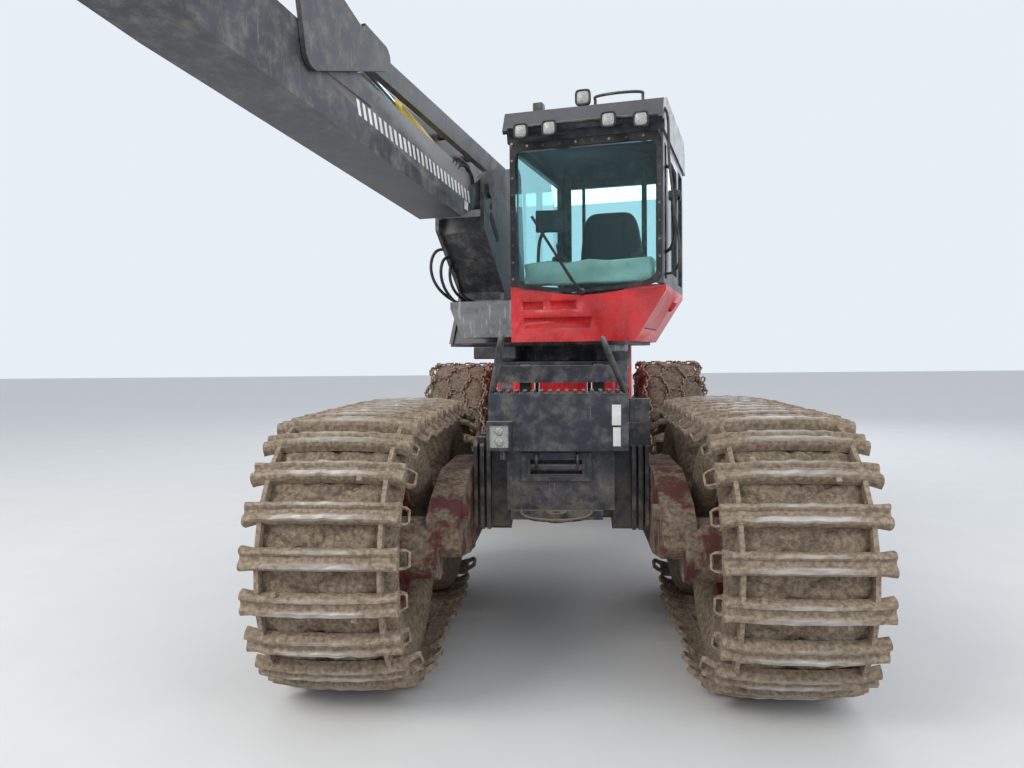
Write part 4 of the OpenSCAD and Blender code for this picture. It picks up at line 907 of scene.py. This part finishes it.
def slot_outline(start, end, radius, points=24):
    """Outline of a slot with round ends, from one end's middle to the other's."""
    (ax, ay), (bx, by) = start, end
    turn = atan2(by - ay, bx - ax)
    half = points // 2
    return [(x + radius * cos(first + pi * i / (half - 1)), y + radius * sin(first + pi * i / (half - 1)))
        for x, y, first in ((bx, by, turn - pi / 2), (ax, ay, turn + pi / 2)) for i in range(half)]


def make_pillar_web():
    """Closed block between the pillar's side plates, under the boom, and painted shade in the plate's slot: a
    thin black sheet where the opening shows dark.
    """
    outline = [(0.03, 2.24), (0.044, 2.33), (0.49, 2.77), (0.45, 2.90), (-0.20, 2.90), (-0.50, 2.48),
        (-0.50, 2.40), (-0.30, 2.40)]
    new_piece("pillar_web", prisms([outline], from_side, -0.866, -0.514), CRANE_PART)
    # Painted shade: flat black shapes on the plate stand for the dark inside of its slot and pin hole
    slots = [slot_outline((0.385, 2.90), (0.235, 2.755), 0.034),
        slot_outline((0.39, 2.983), (0.385, 2.978), 0.022)]
    new_piece("pillar_slots", prisms(slots, from_side, -0.4835, -0.4815), RUBBER_PART)


def make_curved_guard():
    """Curved sheet in front of the tilting drum, with its lid."""
    def arc(radius):
        steps = [-0.475 + 0.95 * i / 16 for i in range(17)]
        return [(x, 0.30 - sqrt(radius ** 2 - x ** 2)) for x in steps]
    sheet = prisms([arc(1.200) + arc(1.180)[::-1]], machine, 1.592, 1.704)
    lid = prisms([arc(1.195) + [(0.40, -0.60), (-0.40, -0.60)]], machine, 1.704, 1.714)
    new_piece("drum_guard", joined([sheet, lid]), STEP_PART, "tilt_base")


def make_boom_fittings():
    """Slanted white stripes and rails on both sides of the boom, a blank plate, and its hoses."""
    stripes = []
    for i in range(27):
        low = 0.344 + i * 0.0655
        high = low + 0.035
        stripes.append([(low, -0.196), (low + 0.031, -0.196), (high + 0.031, -0.116), (high, -0.116)])
    rail = [(1.83, 0.0), (2.46, -0.047), (2.46, -0.112), (1.94, -0.096)]
    for side, word in ((1, "left"), (-1, "right")):
        for kind, shapes, height, material in (("stripes", stripes, 0.0015, white_paint),
                ("rail", [rail], 0.0045, crane_paint)):
            mesh = prisms(shapes, boom_place, side * BOOM_HALF, side * (BOOM_HALF + height))
            new_piece("boom_" + kind + "_" + word, mesh, (material, "navy_paint"), "main_boom")
    mesh = prisms([rectangle(0.39, -0.268, 0.46, -0.205)], boom_place, BOOM_HALF, BOOM_HALF + 0.002)
    new_piece("boom_blank_plate", mesh, (white_paint, "navy_paint"), "main_boom")
    for i, (reach, rise) in enumerate(((0.0, 0.0), (0.05, 0.02), (0.11, 0.015))):
        knots = [(0.62 + reach, -0.045, 0.155), (0.56 + reach, 0.03 + rise, 0.165),
            (0.42 + reach, 0.055 + rise, 0.17), (0.30 + reach * 0.6, 0.02 + rise, 0.165),
            (0.24 + reach * 0.5, -0.035, 0.155)]
        hose("boom_hose_%d" % i, knots, 0.012, "main_boom", 8)
    tip_knots = [(4.05, -0.12, 0.10), (4.15, -0.01, 0.12), (4.14, 0.11, 0.135), (4.00, 0.17, 0.14),
        (3.84, 0.12, 0.13), (3.76, 0.02, 0.12), (3.74, -0.08, 0.11)]
    for i, side in enumerate((1, -1)):
        knots = [(along, over, side * left) for along, over, left in tip_knots]
        hose("boom_tip_hose_%d" % i, knots, 0.010, "main_boom")


def make_pillar_hoses():
    """Black hoses that loop out in front of the pillar on its outer side."""
    loops = [((-0.885, 0.38, 2.66), (-0.93, 0.46, 2.68), (-0.972, 0.50, 2.58), (-0.98, 0.50, 2.45),
        (-0.93, 0.46, 2.32), (-0.84, 0.34, 2.23), (-0.788, 0.10, 2.20)),
        ((-0.868, 0.35, 2.60), (-0.875, 0.44, 2.60), (-0.90, 0.47, 2.52), (-0.905, 0.46, 2.38),
        (-0.85, 0.40, 2.26), (-0.78, 0.28, 2.18), (-0.738, 0.14, 2.14)),
        ((-0.862, 0.28, 2.54), (-0.83, 0.41, 2.55), (-0.835, 0.45, 2.44), (-0.82, 0.42, 2.32),
        (-0.77, 0.32, 2.24), (-0.688, 0.10, 2.19)),
        ((-0.862, 0.21, 2.48), (-0.80, 0.38, 2.50), (-0.765, 0.43, 2.38), (-0.76, 0.40, 2.27),
        (-0.70, 0.29, 2.23), (-0.648, 0.08, 2.22))]
    for i, knots in enumerate(loops):
        hose("pillar_hose_%d" % i, knots, 0.0125)


def soft_block(size, power=0.34, crown=0.022, seams=(-0.45, 0.45), across=40, around=28):
    """A stuffed block with rounded edges, a crowned top and sunk seams along local Y."""
    def lift(value):
        return copysign(abs(value) ** power, value)
    rings = []
    for i in range(1, around):
        polar = pi * i / around - pi / 2
        ring = []
        for k in range(across):
            angle = 2 * pi * k / across
            x = lift(cos(polar)) * lift(cos(angle))
            y = lift(cos(polar)) * lift(sin(angle))
            z = lift(sin(polar))
            swell = crown * (1 - x * x) * (1 - y * y) * max(0.0, z)
            sunk = sum(0.010 * exp(-((x - seam) / 0.035) ** 2) for seam in seams) * max(0.0, z)
            ring.append((x * size[0] / 2, y * size[1] / 2, z * size[2] / 2 + swell - sunk))
        rings.append(ring)
    work = bmesh.new()
    add_skin(work, rings)
    return work


def make_seat():
    """Sprung seat with a stuffed cushion and back between two control pods."""
    middle = 0.36

    def soft_piece(name, size, ahead, height, tip, narrowing):
        work = soft_block(size)
        for vert in work.verts:
            vert.co.x *= 1 - narrowing * ((vert.co.y + size[1] / 2) / size[1]) ** 2
        mesh = moved(from_bmesh(work, True), body_matrix((middle, ahead, height), tip))
        piece = new_piece(name, mesh, SEAT_PART)
        return piece

    cushion = soft_piece("seat_cushion", (0.50, 0.50, 0.13), -0.025, 2.365, 0.0, 0.0)
    soft_piece("seat_back", (0.56, 0.66, 0.13), -0.33, 2.665, 101, 0.26)
    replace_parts(cushion, "operator_seat")
    folds = [(0.150 if step % 2 else 0.118, 1.975 + step * 0.033) for step in range(9)]
    bellows = [(0.155, 1.951)] + folds + [(0.17, 2.27), (0.17, 2.295), (0.02, 2.298)]
    matrix = body_matrix((middle, -0.02, 0.0))
    disc_piece("seat_bellows", matrix, bellows, RUBBER_PART, 36)
    stick = [(0.020, 0.0), (0.026, 0.02), (0.018, 0.05), (0.021, 0.08), (0.027, 0.10), (0.024, 0.122),
        (0.006, 0.130)]
    for way, word in ((-1, "right"), (1, "left")):
        out = middle + way * 0.31
        block_piece("pod_" + word, (out, 0.075, 2.52), (0.11, 0.50, 0.075), 0.028, RUBBER_PART, -4)
        block_piece("pod_arm_" + word, (middle + way * 0.285, -0.08, 2.44), (0.10, 0.07, 0.13), 0.015)
        matrix = body_matrix((out, 0.27, 2.55), 8)
        disc_piece("stick_" + word, matrix, stick, RUBBER_PART, 20)


def screen_loop(half_width, bottom, top, dip, power, count=72):
    """Rounded outline of the windscreen, its lower edge bowed down, as (left, height) points."""
    points = []
    for i in range(count):
        angle = 2 * pi * i / count
        x = copysign(abs(cos(angle)) ** power, cos(angle))
        z = copysign(abs(sin(angle)) ** power, sin(angle))
        bow = dip * (1 - x * x) if z < 0 else 0.0
        points.append((CAB_MIDDLE + x * half_width, (bottom + top) / 2 + z * (top - bottom) / 2 - bow))
    return points


def make_windscreen():
    """Black rubber border of the windscreen, the glass below the sill, and what stands behind it."""
    outer = screen_loop(0.560, 2.305, EAVE_Z - 0.004, 0.062, 0.10)
    inner = screen_loop(0.522, 2.338, EAVE_Z - 0.055, 0.072, 0.12)
    mesh = framed(outer, inner, from_front, CAB_FRONT + 0.001, CAB_FRONT + 0.009)
    new_piece("screen_border", mesh, RUBBER_PART)
    steps = [-0.40 + i * 0.1 for i in range(9)]
    upper = [(CAB_MIDDLE + x, 2.298) for x in steps]
    lower = [(CAB_MIDDLE + x, max(2.2315, 3.75 - sqrt(1.517 ** 2 - x ** 2))) for x in reversed(steps)]
    mesh = prisms([upper + lower], from_front, CAB_FRONT - 0.030, CAB_FRONT - 0.022)
    new_piece("screen_foot", mesh, GLASS_PART)
    shelf = rounded_block((0.98, 0.11, 0.175), 0.03)
    bmesh.ops.subdivide_edges(shelf, edges=shelf.edges[:], cuts=5, use_grid_fill=True)
    for vert in shelf.verts:
        x, z = vert.co.x, vert.co.z
        vert.co.y += 0.016 * sin(x * 23 + z * 30) + 0.010 * sin(x * 47 - z * 38)
        vert.co.z += (0.014 * sin(x * 17 + 1.0) - 0.006 * sin(x * 41)) * (1 if z > 0 else 0.2)
    mesh = moved(from_bmesh(shelf, True), body_matrix((CAB_MIDDLE, 0.60, 2.405)))
    new_piece("dash_shelf", mesh, (pale_cover, "grey_sheet"))
    block_piece("display", (0.02, 0.42, 2.83), (0.24, 0.035, 0.17), 0.012, RUBBER_PART, 12, "Z")
    bar("display_arm", [(-0.10, 0.36, 2.31), (-0.10, 0.37, 2.55), (-0.07, 0.39, 2.72),
        (0.02, 0.405, 2.82)], 0.013)
    for i, (left, width) in enumerate(((-0.05, 0.055), (0.09, 0.028), (0.62, 0.045))):
        block_piece("inner_post_%d" % i, (left, -0.46, 2.84), (width, 0.03, 1.05), 0.008)


def make_lamps():
    """Square work lamps with round corners under the visor, their bar, the tall lamp, and the headlamp."""
    lamps = [(-0.066, 0.940, 3.397, 1.0), (0.145, 0.940, 3.400, 1.0), (0.569, 0.940, 3.418, 1.0),
        (0.794, 0.940, 3.400, 1.0), (0.334, 0.678, 3.672, 1.07)]
    shell = [(0.012, -0.066), (0.036, -0.062), (0.050, -0.042), (0.0575, -0.016), (0.0575, -0.003),
        (0.040, -0.002)]
    glass = [(0.047, -0.002), (0.047, 0.003), (0.038, 0.008), (0.020, 0.011), (0.004, 0.012)]
    bezel = [(0.0585, -0.004), (0.0585, 0.006), (0.054, 0.010), (0.048, 0.008), (0.047, 0.002),
        (0.010, 0.001)]
    made = []
    for name, profile, look in (("lamp_glasses", glass, LAMP_PART), ("lamp_bezels", bezel, RUBBER_PART),
            ("lamp_shells", shell, BLACK_PART)):
        parts = []
        for left, ahead, height, size in lamps:
            mesh = turned_disc([(r * size * 0.93, z) for r, z in profile], 40, 4.5)
            parts.append(moved(mesh, facing_matrix(turned(left, ahead, height), AHEAD)))
        made.append(new_piece(name, joined(parts), look))
    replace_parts(made[-1], "work_lamps")
    bar("lamp_bar", [(-0.18, 0.886, 3.436), (0.36, 0.889, 3.444), (0.90, 0.886, 3.436)], 0.011)
    block_piece("tall_lamp_foot", (0.334, 0.625, 3.645), (0.032, 0.05, 0.06), 0.006)
    plate_y = -2.062
    inner = rectangle(-0.407, 1.262, -0.298, 1.391)
    mesh = framed(rectangle(-0.423, 1.246, -0.282, 1.407), inner, on_plate(plate_y), 0.0, 0.010)
    new_piece("headlamp_bezel", mesh, BLACK_PART, "front_frame")
    new_piece("headlamp_glass", prisms([inner], on_plate(plate_y), 0.0, 0.004), LAMP_PART, "front_frame")
    bulb = [(0.026, 0.003), (0.025, 0.008), (0.012, 0.012), (0.003, 0.013)]
    for i, z in enumerate((1.295, 1.358)):
        matrix = facing_matrix(machine(-0.3525, plate_y, z), FORWARD, Vector((1, 0, 0)))
        disc_piece("headlamp_bulb_%d" % i, matrix, bulb, LAMP_PART, body="front_frame")


def make_step_fittings():
    """Blank plates, bowed foot bar, hooks, side plate and bolts on the front plates."""
    plates = [rectangle(0.302, 1.385, 0.354, 1.505), rectangle(0.308, 1.262, 0.352, 1.372)]
    mesh = prisms(plates, on_plate(-2.0), 0.0, 0.0025)
    new_piece("blank_plates", mesh, (white_paint, "grey_sheet"), "front_frame")
    half = [(0.21, -1.93, 0.866), (0.20, -1.99, 0.855), (0.135, -2.045, 0.842)]
    knots = [(-0.025 - x, y, z) for x, y, z in half] + [(-0.025, -2.058, 0.836)]
    knots += [(-0.025 + x, y, z) for x, y, z in reversed(half)]
    bar("bowed_foot_bar", knots, 0.011, body="front_frame")
    hook = [(-1.912, 1.205), (-1.945, 1.20), (-1.965, 1.17), (-1.955, 1.135), (-1.925, 1.125)]
    for i, x in enumerate((-0.142, 0.102)):
        bar("front_hook_%d" % i, [(x, y, z) for y, z in hook], 0.010, body="front_frame")
    for name, place, size, bevel in (("side_plate", (0.475, -1.80, 1.385), (0.125, 0.024, 0.29), 0.008),
            ("side_plate_arm", (0.43, -1.80, 1.36), (0.10, 0.03, 0.05), 0.006)):
        block_piece(name, place, size, bevel, body="front_frame")
    heads = [machine(x, -2.0005, z) for x in (-0.20, 0.0, 0.20) for z in (1.262, 1.54)]
    heads += [machine(x, -1.9105, z) for x in (-0.29, 0.29) for z in (0.91, 1.03, 1.16)]
    bolts("step_bolts", heads, FORWARD, 0.013, 0.012, BLACK_PART, "front_frame")
    outer = rectangle(-0.235, 1.045, 0.185, 1.212)
    mesh = framed(outer, rectangle(-0.205, 1.070, 0.155, 1.185), on_plate(-1.91), 0.0, 0.012)
    new_piece("hitch_frame", mesh, (step_paint, "navy_paint"), "front_frame")


def make_under_cab():
    """Small boxes under the turning platform, and the bent rail beside the cab."""
    block_piece("side_box", (-0.375, 0.585, 1.812), (0.34, 0.17, 0.095), 0.012)
    block_piece("tool_box", (0.56, 0.60, 1.849), (0.15, 0.14, 0.075), 0.012,
        (cover_finish, "grey_sheet"))
    bar("cab_side_rail", [(0.905, 0.735, 3.55), (0.955, 0.76, 3.45), (0.965, 0.76, 3.15),
        (1.00, 0.75, 2.80), (1.035, 0.72, 2.50), (0.99, 0.66, 2.385), (0.905, 0.62, 2.37)], 0.010)


def make_wiper():
    """Wiper blade with its arm, parked slantwise on the screen."""
    bar("wiper_arm", [(0.335, 0.775, 2.25), (0.27, 0.782, 2.34), (0.10, 0.778, 2.60)], 0.009,
        RUBBER_PART)
    outline = [(0.262, 2.322), (0.276, 2.334), (-0.030, 2.822), (-0.046, 2.812)]
    mesh = prisms([outline], from_front, CAB_FRONT + 0.010, CAB_FRONT + 0.024)
    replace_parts(new_piece("wiper_blade", mesh, RUBBER_PART), "cab_fittings")
    matrix = facing_matrix(turned(0.335, CAB_FRONT, 2.25), AHEAD)
    hub = [(0.026, -0.004), (0.026, 0.016), (0.019, 0.026), (0.006, 0.028)]
    disc_piece("wiper_hub", matrix, hub, BLACK_PART)


def make_roof_fittings():
    """Rail over the roof on two posts, junction box and aerial foot."""
    bar("roof_rail", [(0.412, 0.60, 3.62), (0.412, 0.602, 3.66), (0.425, 0.61, 3.690),
        (0.59, 0.62, 3.697), (0.745, 0.61, 3.690), (0.760, 0.602, 3.66), (0.760, 0.60, 3.62)], 0.011)
    block_piece("roof_box", (-0.025, 0.585, 3.655), (0.075, 0.085, 0.07), 0.01)
    foot = [(0.022, 0.0), (0.022, 0.012), (0.010, 0.022), (0.006, 0.060), (0.004, 0.108)]
    matrix = body_matrix((CAB_LEFT - 0.07, -0.48, 3.628))
    disc_piece("aerial_foot", matrix, foot, RUBBER_PART)


def make_cab_bolts():
    """Rows of bolts on the cab's front posts and over the windscreen."""
    heads = [(left, SILL_Z + 0.06 + step * 0.125) for left in (CAB_RIGHT + 0.022, CAB_LEFT - 0.022)
        for step in range(9)]
    heads += [(CAB_RIGHT + 0.14 + step * 0.122, EAVE_Z - 0.03) for step in range(8)]
    places = [turned(left, CAB_FRONT + 0.009, height) for left, height in heads]
    bolts("cab_bolts", places, AHEAD, 0.010, 0.010, (rail_finish, "navy_paint"))


def make_grab_handle():
    """Long bent handle beside the door, swept along a curve."""
    wall = CAB_LEFT - 0.005
    out = CAB_LEFT + 0.045
    knots = [(wall, 0.62, 2.52), (out, 0.63, 2.56), (out + 0.005, 0.60, 2.85), (out, 0.56, 3.12),
        (wall, 0.55, 3.16)]
    curve = bpy.data.curves.new("route", "CURVE")
    curve.dimensions = "3D"
    curve.bevel_depth = 0.012
    curve.bevel_resolution = 3
    curve.resolution_u = 8
    curve.use_fill_caps = True
    spline = curve.splines.new("BEZIER")
    spline.bezier_points.add(len(knots) - 1)
    for point, knot in zip(spline.bezier_points, knots):
        point.co = turned(*knot)
        point.handle_left_type = "AUTO"
        point.handle_right_type = "AUTO"
    new_piece("grab_handle", smoothed(plain_mesh(placed("route", curve))), RUBBER_PART)


def set_camera():
    """The camera stands where the photograph was taken from."""
    pitch, roll, yaw = radians(-2.282), radians(-0.59), radians(4.21)
    data = bpy.data.cameras.new("camera")
    data.lens = 27.71
    data.sensor_width = 36.0
    data.clip_end = 200.0
    camera = placed("camera", data)
    aim = Euler((radians(90) + pitch, 0, yaw), "XYZ").to_matrix().to_4x4()
    place = Matrix.Translation(machine(0.06, -6.602, 1.813))
    camera.matrix_world = place @ aim @ Matrix.Rotation(roll, 4, "Z")
    bpy.context.scene.camera = camera


def make_stage():
    work = bmesh.new()
    bmesh.ops.create_grid(work, x_segments=1, y_segments=1, size=60.0)
    floor = placed("floor", from_bmesh(work))
    s = Shader("pale floor")
    tint = s.blend(s.noise(2.0, 5.0), (0.62, 0.62, 0.61, 1), (0.68, 0.68, 0.67, 1))
    floor.data.materials.append(s.finish(tint, 0.9))


def soft_light(name, place, aim, size, power, tint=(1, 1, 1)):
    data = bpy.data.lights.new(name, "AREA")
    data.shape = "RECTANGLE"
    data.size = size
    data.size_y = size
    data.energy = power
    data.color = tint
    lamp = placed(name, data)
    lamp.location = place
    lamp.rotation_euler = (aim - place).to_track_quat("-Z", "Y").to_euler()


def make_light():
    """A soft sky, seen a little brighter than it lights, and three large lamps."""
    world = bpy.data.worlds.new("studio")
    world.use_nodes = True
    bpy.context.scene.world = world
    s = Graph(world.node_tree)
    plain = s.tree.nodes["Background"]
    s.fill(plain, {"Color": (0.86, 0.92, 1.0, 1), "Strength": 0.86})
    backdrop = s.node("ShaderNodeBackground", {"Color": (0.80, 0.86, 0.92, 1), "Strength": 1.0}, 0)
    seen = [s.node("ShaderNodeLightPath", {}, "Is %s Ray" % way) for way in ("Camera", "Transmission")]
    either = s.node("ShaderNodeMath", dict(enumerate(seen)), 0, operation="MAXIMUM")
    sky = {0: either, 1: plain.outputs[0], 2: backdrop}
    s.fill(s.tree.nodes["World Output"], {0: s.node("ShaderNodeMixShader", sky, 0)})
    soft_light("key", machine(-9, -9, 10), machine(0, 0, 1), 7.0, 1150, (1.0, 0.97, 0.92))
    soft_light("fill", machine(9, -8, 6), machine(0, 0, 1.2), 8.0, 420)
    soft_light("back", machine(3, 11, 9), machine(0, 0, 2), 8.0, 450, (0.92, 0.96, 1.0))


set_camera()
dress_nodes()
for side_name, side_way in (("left", 1), ("right", -1)):
    make_track(side_name, side_way)
    make_bogie_tyres(side_name, side_way)
    make_rear_tyre(side_name)
make_cab_bolts()
make_grab_handle()
make_reshaped()
make_pillar_web()
make_curved_guard()
make_boom_fittings()
make_pillar_hoses()
make_seat()
make_windscreen()
make_lamps()
make_step_fittings()
make_under_cab()
make_wiper()
make_roof_fittings()
make_stage()
make_light()
bpy.context.scene.view_settings.view_transform = "Standard"
